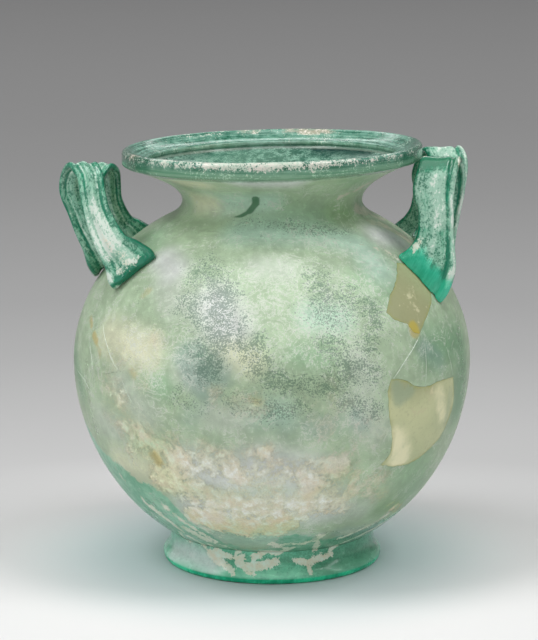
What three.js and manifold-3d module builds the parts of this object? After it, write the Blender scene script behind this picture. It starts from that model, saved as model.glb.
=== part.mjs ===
// Roman blown glass cinerary urn: globular body, folded rim, applied foot ring and two M-shaped handles.
// Millimetres, +Z up. The urn stands on z = 0 with the middle of its overall box at the origin.
import * as THREE from 'three';
import * as BufferGeometryUtils from 'three/addons/utils/BufferGeometryUtils.js';
import Module from 'manifold-3d';

const wasm = await Module();
wasm.setup();

// Foot ring
const FOOT_RADIUS = 63.3;
const FOOT_EDGE_HEIGHT = 7.5;
const FOOT_WAIST_RADIUS = 59.2;
const FOOT_WAIST_Z = 13.5;
const FOOT_SEAT_Z = 18.1;
const FOOT_THICKNESS = 8.5;
const FOOT_EDGE_ROUND = 2.6;
const FOOT_REST_WIDTH = 4;
const FOOT_SEAT_FLARE = 0.8;

// Globe: two half ellipses that meet at the widest height; the lower one stands on the foot ring
const GLOBE_RADIUS = 113.7;
const BELLY_DEPTH = 117;
const SHOULDER_RISE = 96;
const WALL = 3;
const GLOBE_CENTRE_Z = FOOT_SEAT_Z + BELLY_DEPTH * Math.sqrt(1 - (FOOT_WAIST_RADIUS / GLOBE_RADIUS) ** 2);

// Underside: a shallow push-up inside the foot ring
const BASE_RADIUS = 54;
const BASE_FLAT_RADIUS = 37;
const BASE_FLAT_Z = 8;
const PUSH_UP = 5.5;
const PUSH_UP_HALFWAY = 0.62;

// Neck and flaring mouth with its folded rim
const NECK_RADIUS = 51.2;
const NECK_HEIGHT = 9;
const NECK_BLEND_RADIUS = 59;
const FLARE_RISE = 21.6;
const RIM_RADIUS = 85.1;
const RIM_FACE = 9.4;
const RIM_ROLL = 2.4;
const RIM_ROLL_TURN = 115;
const FOLD_WIDTH = 14;
const FOLD_DROP = 5.5;
const FOLD_LIP = 3.6;
const FOLD_LIP_TURN = 150;
const MOUTH_TILT = 1.4;
const NECK_Z = shoulderZ(NECK_BLEND_RADIUS) + NECK_HEIGHT;
const RIM_Z = NECK_Z + FLARE_RISE + RIM_FACE;

// Handles: a ribbed strap that wraps the shoulder in an M, seated at both feet and at the middle
const STRAP_INSET = 35.7;
const STRAP_REACH = GLOBE_RADIUS - STRAP_INSET;
const LEFT_SPREAD = 50;
const LEFT_DEPTH = 33.5;
const LEFT_HEIGHT = 57.2;
const LEFT_WIDTH = 15;
const RIGHT_SPREAD = 46;
const RIGHT_DEPTH = 21.5;
const RIGHT_HEIGHT = 57.4;
const RIGHT_WIDTH = 22;
const STRAP_THICKNESS = 6.6;
const RIB_HEIGHT = 1.5;
const CORNER_ACROSS = 0.8;
const CORNER_UP = 0.6;
const SECTION_POINTS = 18;

// Hand work: the far half of a handle differs in rise and width, and stands further out (+) or in (-)
const LEFT_FAR_RISE = 0.88;
const LEFT_FAR_SHIFT_FOOT = 5;
const LEFT_FAR_SHIFT_TOP = -6.5;
const LEFT_FAR_WIDTH = 0.84;
const RIGHT_FAR_RISE = 1;
const RIGHT_FAR_SHIFT_FOOT = -2;
const RIGHT_FAR_SHIFT_TOP = 4.5;
const RIGHT_FAR_WIDTH = 1;
const SHIFT_FULL_RISE = 50;

// Clearance between neighbours, and how the solids are faceted
const SEAM = 0.3;
const ROUND_SEGMENTS = 52;
const STRAP_STEPS = 56;
const STEPS = {
  underside: 5, belly: 8, shoulder: 7, neckRoot: 3, flare: 5, corner: 1, roll: 4, lip: 2, foot: 2,
};
const MERGE_DISTANCE = 1e-4;

// Cutting wedges for the wall pieces: from inside the wall to outside it, in shares of the radius
const WEDGE_INSIDE = 0.8;
const WEDGE_OUTSIDE = 1.15;
const MITER_LIMIT = 0.4;

// Colours and gloss
const GLASS = { color: 0x9fc4ae, roughness: 0.3, metalness: 0 };
const THICK_GLASS = { color: 0x3d9f7c, roughness: 0.25, metalness: 0 };
const RESIN = { color: 0xb9b48c, roughness: 0.5, metalness: 0 };

const QUARTER_TURN = 90;
const degrees = (angle) => THREE.MathUtils.degToRad(angle);
const polar = (radius, azimuth, z) => new THREE.Vector3(
  radius * Math.cos(azimuth), radius * Math.sin(azimuth), z);

// A point on the outside of the globe, at an angle round it and an angle above its widest height
function onGlobe(azimuth, lift) {
  const semiAxis = lift > 0 ? SHOULDER_RISE : BELLY_DEPTH;
  return polar(GLOBE_RADIUS * Math.cos(lift), azimuth, GLOBE_CENTRE_Z + semiAxis * Math.sin(lift));
}

// Height of the shoulder at a radius
function shoulderZ(radius) {
  return GLOBE_CENTRE_Z + SHOULDER_RISE * Math.sqrt(Math.max(0, 1 - (radius / GLOBE_RADIUS) ** 2));
}

// Height of the belly at a radius
function bellyZ(radius) {
  return GLOBE_CENTRE_Z - BELLY_DEPTH * Math.sqrt(Math.max(0, 1 - (radius / GLOBE_RADIUS) ** 2));
}

// A closed body with merged vertices and faces pointing out, as a manifold solid
function toSolid(geometry) {
  geometry.deleteAttribute('normal');
  geometry.deleteAttribute('uv');
  const merged = BufferGeometryUtils.mergeVertices(geometry, MERGE_DISTANCE);
  const places = merged.attributes.position.array;
  const faces = merged.index.array;
  const corner = (index) => new THREE.Vector3().fromArray(places, index * 3);
  const kept = [];
  let volume = 0;
  for (let i = 0; i < faces.length; i += 3) {
    const [a, b, c] = faces.slice(i, i + 3);
    if (a === b || b === c || c === a) continue;
    kept.push([a, b, c]);
    volume += corner(a).dot(corner(b).cross(corner(c)));
  }
  const triVerts = new Uint32Array(kept.flatMap(([a, b, c]) => (volume < 0 ? [a, c, b] : [a, b, c])));
  const vertProperties = new Float32Array(places);
  return new wasm.Manifold(new wasm.Mesh({ numProp: 3, vertProperties, triVerts }));
}

// A manifold solid as a named mesh
function toMesh(solid, name, finish) {
  const { vertProperties, triVerts } = solid.getMesh();
  const geometry = new THREE.BufferGeometry();
  geometry.setAttribute('position', new THREE.BufferAttribute(vertProperties, 3));
  geometry.setIndex(new THREE.BufferAttribute(triVerts, 1));
  geometry.computeVertexNormals();
  const mesh = new THREE.Mesh(geometry, new THREE.MeshStandardMaterial(finish));
  mesh.name = name;
  return mesh;
}

// A closed profile of [radius, height] points turned round the urn's axis
function turned(profile) {
  const geometry = new THREE.LatheGeometry(profile, ROUND_SEGMENTS);
  geometry.rotateX(Math.PI / 2);
  return geometry;
}

// Profile points moved inwards, square to the profile, by a distance
function inset(profile, distance) {
  return profile.map((point, index) => {
    const before = profile[Math.max(index - 1, 0)];
    const after = profile[Math.min(index + 1, profile.length - 1)];
    const along = after.clone().sub(before).normalize();
    const moved = point.clone().add(new THREE.Vector2(-along.y, along.x).multiplyScalar(distance));
    return point.x === 0 ? new THREE.Vector2(0, point.y + distance) : moved;
  });
}

// The underside, belly, shoulder, neck and flare, from the axis up to the rim
function outerProfile() {
  const underside = new THREE.SplineCurve([
    new THREE.Vector2(0, BASE_FLAT_Z + PUSH_UP),
    new THREE.Vector2(BASE_FLAT_RADIUS / 2, BASE_FLAT_Z + PUSH_UP * PUSH_UP_HALFWAY),
    new THREE.Vector2(BASE_FLAT_RADIUS, BASE_FLAT_Z),
    new THREE.Vector2(BASE_RADIUS, bellyZ(BASE_RADIUS)),
  ]).getPoints(STEPS.underside);

  const bellyStart = Math.asin(BASE_RADIUS / GLOBE_RADIUS);
  const belly = arcPoints(bellyStart, Math.PI / 2, STEPS.belly, (angle) => new THREE.Vector2(
    GLOBE_RADIUS * Math.sin(angle), GLOBE_CENTRE_Z - BELLY_DEPTH * Math.cos(angle)));

  const shoulderEnd = Math.acos(NECK_BLEND_RADIUS / GLOBE_RADIUS);
  const shoulder = arcPoints(0, shoulderEnd, STEPS.shoulder, (angle) => new THREE.Vector2(
    GLOBE_RADIUS * Math.cos(angle), GLOBE_CENTRE_Z + SHOULDER_RISE * Math.sin(angle)));

  const blendStart = shoulder.at(-1);
  const slope = SHOULDER_RISE * Math.cos(shoulderEnd) / (GLOBE_RADIUS * Math.sin(shoulderEnd));
  const corner = new THREE.Vector2(NECK_RADIUS, blendStart.y + (blendStart.x - NECK_RADIUS) * slope);
  const neckRoot = new THREE.QuadraticBezierCurve(
    blendStart, corner, new THREE.Vector2(NECK_RADIUS, NECK_Z)).getPoints(STEPS.neckRoot);

  const flareWidth = RIM_RADIUS - RIM_ROLL - NECK_RADIUS;
  const flare = arcPoints(0, 1, STEPS.flare, (share) => new THREE.Vector2(
    NECK_RADIUS + flareWidth * share ** 2, NECK_Z + FLARE_RISE * share));

  return [...underside, ...belly.slice(1), ...shoulder.slice(1), ...neckRoot.slice(1), ...flare.slice(1)];
}

// Points of a curve given by a formula, from one value of its parameter to another
function arcPoints(from, to, steps, formula) {
  return Array.from({ length: steps + 1 }, (_, i) => formula(from + (to - from) * i / steps));
}

// Points of a round in the profile plane, from one angle to another in degrees
function roundPoints(centre, radius, from, to, steps) {
  return arcPoints(degrees(from), degrees(to), steps, (angle) => new THREE.Vector2(
    centre.x + radius * Math.cos(angle), centre.y + radius * Math.sin(angle)));
}

// The rim: glass folded out, up and in, so that its top slopes down inwards to the end of the fold
function rimProfile() {
  const lowerCentre = new THREE.Vector2(RIM_RADIUS - RIM_ROLL, RIM_Z - RIM_FACE + RIM_ROLL);
  const upperCentre = new THREE.Vector2(RIM_RADIUS - RIM_ROLL, RIM_Z - RIM_ROLL);
  const lipRadius = FOLD_LIP / 2;
  const lipCentre = new THREE.Vector2(RIM_RADIUS - FOLD_WIDTH + lipRadius, RIM_Z - FOLD_DROP - lipRadius);
  return [
    ...roundPoints(lowerCentre, RIM_ROLL, -QUARTER_TURN / 2, 0, STEPS.corner),
    ...roundPoints(upperCentre, RIM_ROLL, 0, RIM_ROLL_TURN, STEPS.roll),
    ...roundPoints(lipCentre, lipRadius, QUARTER_TURN, QUARTER_TURN + FOLD_LIP_TURN, STEPS.lip),
  ];
}

// The whole blown vessel before it was broken: one wall from the push-up to the folded rim
function blownVessel() {
  const outer = outerProfile();
  const underFold = (point) => point.y > NECK_Z && point.x > RIM_RADIUS - FOLD_WIDTH;
  const inner = inset(outer, WALL).filter((point) => !underFold(point));
  const profile = [...outer, ...rimProfile(), ...inner.reverse()];
  const geometry = turned(profile);
  tiltMouth(geometry);
  return toSolid(geometry);
}

// Hand work left the mouth a little askew: heights above the shoulder slope along X
function tiltMouth(geometry) {
  const place = geometry.attributes.position;
  const slope = Math.tan(degrees(MOUTH_TILT));
  for (let i = 0; i < place.count; i += 1) {
    const share = THREE.MathUtils.smoothstep(place.getZ(i), shoulderZ(NECK_BLEND_RADIUS), RIM_Z - RIM_FACE);
    place.setZ(i, place.getZ(i) + place.getX(i) * slope * share);
  }
}

// The vessel's whole outside, grown by the seam, as a cutter for what is fused to it or stands beside it
function vesselCutter() {
  const grown = inset(outerProfile(), -SEAM);
  const top = RIM_Z + SEAM;
  const geometry = turned([...grown, new THREE.Vector2(RIM_RADIUS + SEAM, RIM_Z - RIM_FACE),
    new THREE.Vector2(RIM_RADIUS + SEAM, top), new THREE.Vector2(0, top)]);
  tiltMouth(geometry);
  return toSolid(geometry);
}

// The foot: a coil of glass tooled into a splayed ring with a thick rounded edge
function footRing() {
  const seat = bellyZ(FOOT_WAIST_RADIUS) + WALL;
  const innerRadius = FOOT_WAIST_RADIUS - FOOT_THICKNESS;
  const restOuter = new THREE.Vector2(FOOT_RADIUS - FOOT_EDGE_ROUND, 0);
  const restInner = new THREE.Vector2(restOuter.x - FOOT_REST_WIDTH, 0);
  const widest = new THREE.Vector2(FOOT_RADIUS, FOOT_EDGE_HEIGHT / 2);
  const waist = new THREE.Vector2(FOOT_WAIST_RADIUS, FOOT_WAIST_Z);
  const innerEdge = new THREE.Vector2(innerRadius, FOOT_EDGE_HEIGHT);
  const lowerEdge = new THREE.QuadraticBezierCurve(restOuter, new THREE.Vector2(FOOT_RADIUS, 0), widest);
  const splay = new THREE.CubicBezierCurve(widest, new THREE.Vector2(FOOT_RADIUS, FOOT_WAIST_Z),
    new THREE.Vector2(FOOT_WAIST_RADIUS, FOOT_EDGE_HEIGHT), waist);
  const hollow = new THREE.QuadraticBezierCurve(innerEdge, new THREE.Vector2(innerRadius, 0), restInner);
  const profile = [
    ...lowerEdge.getPoints(STEPS.foot),
    ...splay.getPoints(STEPS.foot * 2).slice(1),
    new THREE.Vector2(FOOT_WAIST_RADIUS + FOOT_SEAT_FLARE, seat),
    new THREE.Vector2(innerRadius, seat),
    ...hollow.getPoints(STEPS.foot),
    restOuter,
  ];
  return toSolid(turned(profile)).subtract(outside);
}

// Stations of half a handle, from its foot to the seat in the middle of the M, in shares of its named sizes:
// [spread, depth outwards from the foot, height above the foot, width, thickness, droop in degrees]
const LEFT_STATIONS = [
  [1.075, -0.066, 0.035, 2.000, 1.1, 38],
  [1.01, -0.006, 0.084, 2.033, 1.6, 39],
  [0.97, 0.107, 0.164, 1.733, 1.5, 38],
  [0.95, 0.284, 0.276, 1.267, 1.15, 32],
  [0.88, 0.433, 0.425, 1.100, 1.05, 22],
  [0.8, 0.567, 0.600, 1.000, 1, 10],
  [0.72, 0.642, 0.792, 0.967, 1, 2],
  [0.64, 0.687, 0.927, 0.967, 1, 0],
  [0.52, 0.806, 1.000, 1.033, 1, 0],
  [0.39, 0.940, 0.923, 1.067, 1, 2],
  [0.34, 1.000, 0.757, 1.067, 1, 4],
  [0.33, 0.881, 0.565, 1.067, 1, 10],
  [0.33, 0.746, 0.372, 1.133, 1, 20],
  [0.3, 0.582, 0.198, 1.333, 1.1, 32],
  [0.18, 0.493, 0.070, 1.600, 1.2, 42],
  [0, 0.463, 0.026, 1.800, 1.25, 44],
];
const RIGHT_STATIONS = [
  [0.88, -0.140, -0.240, 1.636, 1.9, 44],
  [0.96, 0.186, -0.084, 1.636, 1.8, 44],
  [0.99, 0.419, 0.070, 1.409, 1.45, 39],
  [0.95, 0.535, 0.218, 1.091, 1.2, 28],
  [0.89, 0.581, 0.383, 0.909, 1.05, 15],
  [0.83, 0.581, 0.575, 0.909, 1, 6],
  [0.76, 0.535, 0.749, 1.068, 1, 0],
  [0.68, 0.628, 0.909, 1.023, 1, 0],
  [0.54, 0.744, 1.000, 1.023, 1, 0],
  [0.4, 0.907, 0.923, 0.955, 1, 0],
  [0.35, 1.000, 0.732, 0.818, 1, 2],
  [0.34, 0.930, 0.523, 0.773, 1, 6],
  [0.34, 0.814, 0.331, 0.818, 1, 14],
  [0.3, 0.698, 0.157, 0.955, 1.1, 30],
  [0.18, 0.605, 0.052, 1.091, 1.2, 42],
  [0, 0.581, 0.026, 1.182, 1.25, 44],
];

// Cross-section of the strap: three ribs on each face, the side ribs rounded into the edges
function strapSection(width, thickness) {
  return Array.from({ length: SECTION_POINTS }, (_, i) => {
    const angle = Math.PI * 2 * (i + 0.5) / SECTION_POINTS;
    const across = Math.sign(Math.cos(angle)) * Math.abs(Math.cos(angle)) ** CORNER_ACROSS;
    const up = Math.sign(Math.sin(angle)) * Math.abs(Math.sin(angle)) ** CORNER_UP;
    const rib = RIB_HEIGHT * (Math.cos(across * Math.PI * 2) - 1) / 2;
    return new THREE.Vector2(across * width / 2, up * (thickness / 2 + rib));
  });
}

// A handle on one side: side is -1 for the left and 1 for the right
function handle({ side, stations, spread, depth, height, width, farRise, farFoot, farTop, farWidth }) {
  const footZ = shoulderZ(Math.hypot(STRAP_REACH, spread));
  const near = stations.map((station) => [...station, -1]);
  const far = stations.slice(0, -1).map((station) => [...station, 1]).reverse();
  const both = [...near, ...far];
  const route = new THREE.CatmullRomCurve3(both.map(([share, out, up, , , , half]) => {
    const level = THREE.MathUtils.clamp(up * height / SHIFT_FULL_RISE, 0, 1);
    const shift = half > 0 ? THREE.MathUtils.lerp(farFoot, farTop, level) : 0;
    const rise = half > 0 ? up * height * farRise : up * height;
    return new THREE.Vector3(side * (STRAP_REACH + out * depth + shift), half * share * spread, footZ + rise);
  }));
  const form = new THREE.CatmullRomCurve3(both.map(([, , , wide, thick, droop, half]) => new THREE.Vector3(
    wide * width * (half > 0 ? farWidth : 1), thick * STRAP_THICKNESS, degrees(droop))));

  const rings = [];
  for (let i = 0; i <= STRAP_STEPS; i += 1) {
    const share = i / STRAP_STEPS;
    const centre = route.getPoint(share);
    const along = route.getTangent(share);
    const { x: wide, y: thick, z: droop } = form.getPoint(share);
    const across = new THREE.Vector3(side * Math.cos(droop), 0, -Math.sin(droop));
    const faceNormal = along.clone().cross(across).normalize();
    across.crossVectors(faceNormal, along).normalize();
    rings.push(strapSection(wide, thick).map((point) => centre.clone()
      .addScaledVector(across, point.x).addScaledVector(faceNormal, point.y)));
  }
  return toSolid(lofted(rings)).subtract(outside);
}

// A closed body through rings of points, with flat ends
function lofted(rings) {
  const size = rings[0].length;
  const places = rings.flat().flatMap((point) => point.toArray());
  const faces = [];
  for (let ring = 0; ring + 1 < rings.length; ring += 1) {
    for (let i = 0; i < size; i += 1) {
      const a = ring * size + i;
      const b = ring * size + (i + 1) % size;
      faces.push(a, b, b + size, a, b + size, a + size);
    }
  }
  const last = (rings.length - 1) * size;
  for (let i = 1; i + 1 < size; i += 1) {
    faces.push(0, i + 1, i);
    faces.push(last, last + i, last + i + 1);
  }
  const geometry = new THREE.BufferGeometry();
  geometry.setAttribute('position', new THREE.Float32BufferAttribute(places, 3));
  geometry.setIndex(faces);
  return geometry;
}

// Breaks and fills in the globe, as points on its outside: [azimuth, angle above the middle] in degrees
const FILL_TIP = [-42.6, 16.6];
const UPPER_FILL_LEFT = [[-37.0, 41], [-43.0, 35.4], [-49.6, 30.4], [-53.3, 25.2], [-51.2, 22.6],
  [-46.3, 20.4], [-45.2, 17.8]];
const UPPER_FILL_RIGHT = [[-38.9, 20], [-31.4, 25.2]];
const UPPER_FILL_UNDER_HANDLE = [[-28.5, 28.6], [-31.0, 33.5], [-32.5, 39.8]];
const LOWER_FILL_CORNER = [-55.6, 3.9];
const LOWER_FILL_TOP_LEFT = [[-53.0, 3.6], [-49.9, 2.4], [-47.2, 0.4]];
const LOWER_FILL_TOP_MIDDLE = [-42.8, -0.6];
const LOWER_FILL_TOP_RIGHT = [[-39.4, -0.5], [-34.5, -0.1]];
const LOWER_FILL_RIGHT_CORNER = [-28.0, -0.4];
const LOWER_FILL_SIDES = [[-26.4, -7], [-26.7, -10.3], [-28.9, -14.6], [-31.0, -17.5], [-35.5, -19.9],
  [-40.1, -22], [-44.8, -22.9], [-51.1, -22.6], [-56.2, -21.3], [-53.6, -18.2], [-53.8, -13.8],
  [-56.0, -6.9], [-56.9, 0]];
const CRACK_FRONT = [[-46.4, 12.6], [-49.9, 9.3]];
const CRACK_MIDDLE = [[-41.5, 12], [-42.3, 5.4]];
const CRACK_SIDE = [[-30.6, 17.6], [-30.6, 10.1], [-29.3, 5]];
const LEFT_SHERD = [[-149.4, 17.8], [-145.9, 13.4], [-143.6, 10.9], [-140.8, 7.5], [-137.8, 4],
  [-144.5, 2.1], [-150.7, 2.6], [-152.1, 6.2], [-154.9, 10.4], [-153.6, 15.1]];

const WALL_PIECES = {
  fill_upper: [...UPPER_FILL_LEFT, FILL_TIP, ...UPPER_FILL_RIGHT, ...UPPER_FILL_UNDER_HANDLE],
  fill_lower: [LOWER_FILL_CORNER, ...LOWER_FILL_TOP_LEFT, LOWER_FILL_TOP_MIDDLE, ...LOWER_FILL_TOP_RIGHT,
    LOWER_FILL_RIGHT_CORNER, ...LOWER_FILL_SIDES],
  sherd_right_front: [FILL_TIP, ...CRACK_FRONT, LOWER_FILL_CORNER, ...LOWER_FILL_TOP_LEFT,
    LOWER_FILL_TOP_MIDDLE, ...CRACK_MIDDLE.toReversed()],
  sherd_right_side: [FILL_TIP, ...CRACK_MIDDLE, LOWER_FILL_TOP_MIDDLE, ...LOWER_FILL_TOP_RIGHT,
    LOWER_FILL_RIGHT_CORNER, ...CRACK_SIDE.toReversed(), ...UPPER_FILL_RIGHT.toReversed()],
  sherd_left: LEFT_SHERD,
};

// A wedge from inside the globe to past its wall, over an outline grown by a margin
function wallWedge(outline, margin) {
  const centre = new THREE.Vector3(0, 0, GLOBE_CENTRE_Z);
  const points = outline.map(([azimuth, lift]) => onGlobe(degrees(azimuth), degrees(lift)));
  const count = points.length;
  const flat = outline.map(([azimuth, lift]) => new THREE.Vector2(azimuth, lift));
  const turn = THREE.ShapeUtils.area(flat);
  const grown = points.map((point, i) => {
    const outwards = point.clone().sub(centre).normalize();
    const sideOf = (from, to) => to.clone().sub(from).normalize().cross(outwards).normalize();
    const before = sideOf(points[(i + count - 1) % count], point);
    const after = sideOf(point, points[(i + 1) % count]);
    const miter = before.clone().add(after).normalize();
    const reach = Math.sign(turn) * margin / Math.max(miter.dot(after), MITER_LIMIT);
    return point.clone().addScaledVector(miter, reach);
  });
  const ring = (share) => grown.map((point) => centre.clone().lerp(point, share));
  const inner = ring(WEDGE_INSIDE);
  const outer = ring(WEDGE_OUTSIDE);
  const faces = THREE.ShapeUtils.triangulateShape(flat, []);
  const index = faces.flatMap(([a, b, c]) => [a, c, b, a + count, b + count, c + count]);
  for (let i = 0; i < count; i += 1) {
    const next = (i + 1) % count;
    const side = turn > 0 ? [i, next, next + count, i, next + count, i + count]
      : [next, i, i + count, next, i + count, next + count];
    index.push(...side);
  }
  const geometry = new THREE.BufferGeometry();
  const places = [...inner, ...outer].flatMap((point) => point.toArray());
  geometry.setAttribute('position', new THREE.Float32BufferAttribute(places, 3));
  geometry.setIndex(index);
  return toSolid(geometry);
}

// Assembly
const urn = new THREE.Group();
const vessel = blownVessel();
const outside = vesselCutter();
let body = vessel;
for (const [name, outline] of Object.entries(WALL_PIECES)) {
  const finish = name.startsWith('fill') ? RESIN : GLASS;
  urn.add(toMesh(vessel.intersect(wallWedge(outline, -SEAM / 2)), name, finish));
  body = body.subtract(wallWedge(outline, SEAM / 2));
}
urn.add(toMesh(body, 'vessel_body', GLASS));
urn.add(toMesh(footRing(), 'foot_ring', THICK_GLASS));
const leftHandle = handle({
  side: -1, stations: LEFT_STATIONS, spread: LEFT_SPREAD, depth: LEFT_DEPTH, height: LEFT_HEIGHT,
  width: LEFT_WIDTH, farRise: LEFT_FAR_RISE, farFoot: LEFT_FAR_SHIFT_FOOT, farTop: LEFT_FAR_SHIFT_TOP,
  farWidth: LEFT_FAR_WIDTH,
});
const rightHandle = handle({
  side: 1, stations: RIGHT_STATIONS, spread: RIGHT_SPREAD, depth: RIGHT_DEPTH, height: RIGHT_HEIGHT,
  width: RIGHT_WIDTH, farRise: RIGHT_FAR_RISE, farFoot: RIGHT_FAR_SHIFT_FOOT, farTop: RIGHT_FAR_SHIFT_TOP,
  farWidth: RIGHT_FAR_WIDTH,
});
urn.add(toMesh(leftHandle, 'handle_left', THICK_GLASS));
urn.add(toMesh(rightHandle, 'handle_right', THICK_GLASS));

// The left handle reaches further out than anything on the right, so the axis stands off the box's middle
const box = new THREE.Box3().setFromObject(urn);
urn.position.x = -(box.min.x + box.max.x) / 2;

export default urn;
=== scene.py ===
# Looks of the blown glass urn: finer glass over the fixed frame, weathering, fills, floor, light and camera.
import math

import bmesh
import bpy
import numpy as np
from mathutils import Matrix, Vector, kdtree, noise
from mathutils.geometry import delaunay_2d_cdt


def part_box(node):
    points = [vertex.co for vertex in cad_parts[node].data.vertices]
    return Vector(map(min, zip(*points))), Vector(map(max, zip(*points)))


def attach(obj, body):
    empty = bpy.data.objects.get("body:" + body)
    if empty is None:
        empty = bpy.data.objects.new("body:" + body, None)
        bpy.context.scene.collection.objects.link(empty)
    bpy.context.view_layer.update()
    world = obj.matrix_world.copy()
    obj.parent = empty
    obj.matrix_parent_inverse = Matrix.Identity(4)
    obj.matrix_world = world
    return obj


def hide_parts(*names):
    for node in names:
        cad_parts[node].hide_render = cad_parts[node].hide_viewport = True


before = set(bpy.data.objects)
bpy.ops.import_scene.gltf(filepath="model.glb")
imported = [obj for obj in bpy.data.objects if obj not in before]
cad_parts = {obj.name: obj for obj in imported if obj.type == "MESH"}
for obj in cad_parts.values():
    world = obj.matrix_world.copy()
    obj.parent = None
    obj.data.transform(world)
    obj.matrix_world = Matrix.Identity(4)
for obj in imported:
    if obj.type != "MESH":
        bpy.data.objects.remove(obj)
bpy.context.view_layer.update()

MM = 0.001
low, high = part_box("foot_ring")
AXIS_X = (low[0] + high[0]) / 2 / MM

# Sizes in millimetres, as in the solids
FOOT_RADIUS = 63.3
FOOT_EDGE_HEIGHT = 7.5
FOOT_WAIST_RADIUS = 59.2
FOOT_WAIST_Z = 13.5
FOOT_SEAT_Z = 18.1
FOOT_THICKNESS = 8.5
FOOT_EDGE_ROUND = 2.6
FOOT_REST_WIDTH = 4
FOOT_SEAT_FLAT_RADIUS = 51
GLOBE_RADIUS = 113.7
BELLY_DEPTH = 117
SHOULDER_RISE = 96
WALL = 3
GLOBE_CENTRE_Z = FOOT_SEAT_Z + BELLY_DEPTH * math.sqrt(1 - (FOOT_WAIST_RADIUS / GLOBE_RADIUS) ** 2)
BASE_RADIUS = 54
BASE_FLAT_RADIUS = 37
BASE_FLAT_Z = 8
PUSH_UP = 5.5
PUSH_UP_TOP_RADIUS = 14
PUSH_UP_FOOT_RADIUS = 24
NECK_RADIUS = 51.2
NECK_HEIGHT = 9
NECK_BLEND_RADIUS = 59
FLARE_RISE = 21.6
RIM_RADIUS = 85.1
RIM_FACE = 9.4
RIM_ROLL = 2.4
FOLD_WIDTH = 14
FOLD_DROP = 5.5
FOLD_LIP = 3.6
FOLD_SAG = 0.9
MOUTH_TILT = math.tan(math.radians(1.4))
STRAP_REACH = GLOBE_RADIUS - 35.7
STRAP_THICKNESS = 6.6
SEAM = 0.3
HAIRLINE_SEAM = SEAM * 0.6
CRACK_GAP = 0.12

# Fineness of the meshes: columns in a full turn, rows and lengths in degrees, millimetres or counts
COLUMNS = 240
COLUMN_STEP = 360 / COLUMNS
LAT_LOW = -32
LAT_HIGH = 44
ROW_STEP = 1
UNDERSIDE_ROWS = 16
NECK_ROWS = 10
FLARE_ROWS = 16
FOLD_ROWS = 6
FOOT_EDGE_ROWS = 8
FOOT_SIDE_ROWS = 16
FOOT_SEAT_ROWS = 12
OUTLINE_STEP = 1
GRID_CLEARANCE = 0.45
MITRE_LIMIT = 0.4
HANDLE_RINGS = 300
HANDLE_SIDES = 72
HANDLE_VOXEL = 0.75
CUTTER_COLUMNS = 180
CUTTER_ROWS = 90
SHARP_ANGLE = 50
CLOSE = 0.01
TINY = 1e-4
WELD_DISTANCE = 1e-6
CUT_TOLERANCE = 1e-5
LAY_NEIGHBOURS = 3
LAY_BLUR = 1e-5

# Unevenness of the wall in millimetres, of the breaks in degrees, and the foot's to and fro and up and down
RIPPLE_HEIGHT = 0.8
BROAD_RIPPLE = 0.022
FINE_RIPPLE = 0.06
RIPPLE_HEIGHTS = (22, 42)
BREAK_WAVE = 0.44
BREAK_WAVES = 0.9
BREAK_PLANE = 3.1
BREAK_SHIFT = Vector((7, 5, 2))
FOOT_WAVE_OUT = 0.5
FOOT_WAVE_UP = 0.9
FOOT_SHIFT = Vector((0, 0, 4))
STRAP_GRAIN = 0.3
STRAP_FLATNESS = (0.8, 0.6)

# Heights between which a layer of the wall's weathering comes or goes. The fold's are those of a level mouth
FILM_STARTS = (38, 70)
NECK_FILM = (198, 207)
NECK_TURNING = (186, 200)
CLEAR_ENDS = (22, 46)
CRISP_ENDS = (40, 62)
HALF_CRISP_ENDS = (80, 110)
MOUTH_STARTS = (190, 205)
FOLD_LEVELS = (228, 231)
CLEAR_BORDER_WIDTH = 16
BASE_TOP = 25
FRONT_AZIMUTH = -97
FRONT_SPREAD = 42
STROKE_FADE = 1.5
RIM_GLASS_FROM = 0.6
STRAP_FILM = 0.42

# Shading, with the depth of the bumps in metres
BUMP_DEPTH = 0.0003
GLASS_IOR = 1.5
COAT_ROUGHNESS = 0.06

# Where the photo was taken from, in metres and degrees, with a lens in millimetres
CAMERA_PLACE = (0.00102, -1.3403, 0.3957)
CAMERA_DIP = 10.844
CAMERA_LENS = 133.61
SENSOR_WIDTH = 36


def shoulder_z(radius):
    return GLOBE_CENTRE_Z + SHOULDER_RISE * math.sqrt(max(0, 1 - (radius / GLOBE_RADIUS) ** 2))


def belly_z(radius):
    return GLOBE_CENTRE_Z - BELLY_DEPTH * math.sqrt(max(0, 1 - (radius / GLOBE_RADIUS) ** 2))


NECK_Z = shoulder_z(NECK_BLEND_RADIUS) + NECK_HEIGHT
RIM_Z = NECK_Z + FLARE_RISE + RIM_FACE


def smooth(values, start, end):
    """A soft step from 0 to 1 between two values."""
    share = np.clip((values - start) / (end - start), 0, 1)
    return share * share * (3 - 2 * share)


def even_steps(start, end, count):
    """Values from start to end in even steps, with both ends."""
    return [start + (end - start) * i / count for i in range(count + 1)]


def pairs(loop):
    """Each item of a closed loop with the one after it."""
    return zip(loop, [*loop[1:], loop[0]])


def placed(*spot):
    """A place given in millimetres from the urn's axis, in the scene's metres."""
    return (Vector(spot) + Vector((AXIS_X, 0, 0))) * MM


def unevenness(broad, fine):
    """Broad and fine waves of the hand-made glass, from about -0.6 to 0.6."""
    return noise.noise(broad) * 0.5 + noise.noise(fine) * 0.12


def globe_half(height):
    """The globe's half height below or above its widest place."""
    return SHOULDER_RISE if height > GLOBE_CENTRE_Z else BELLY_DEPTH


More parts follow.
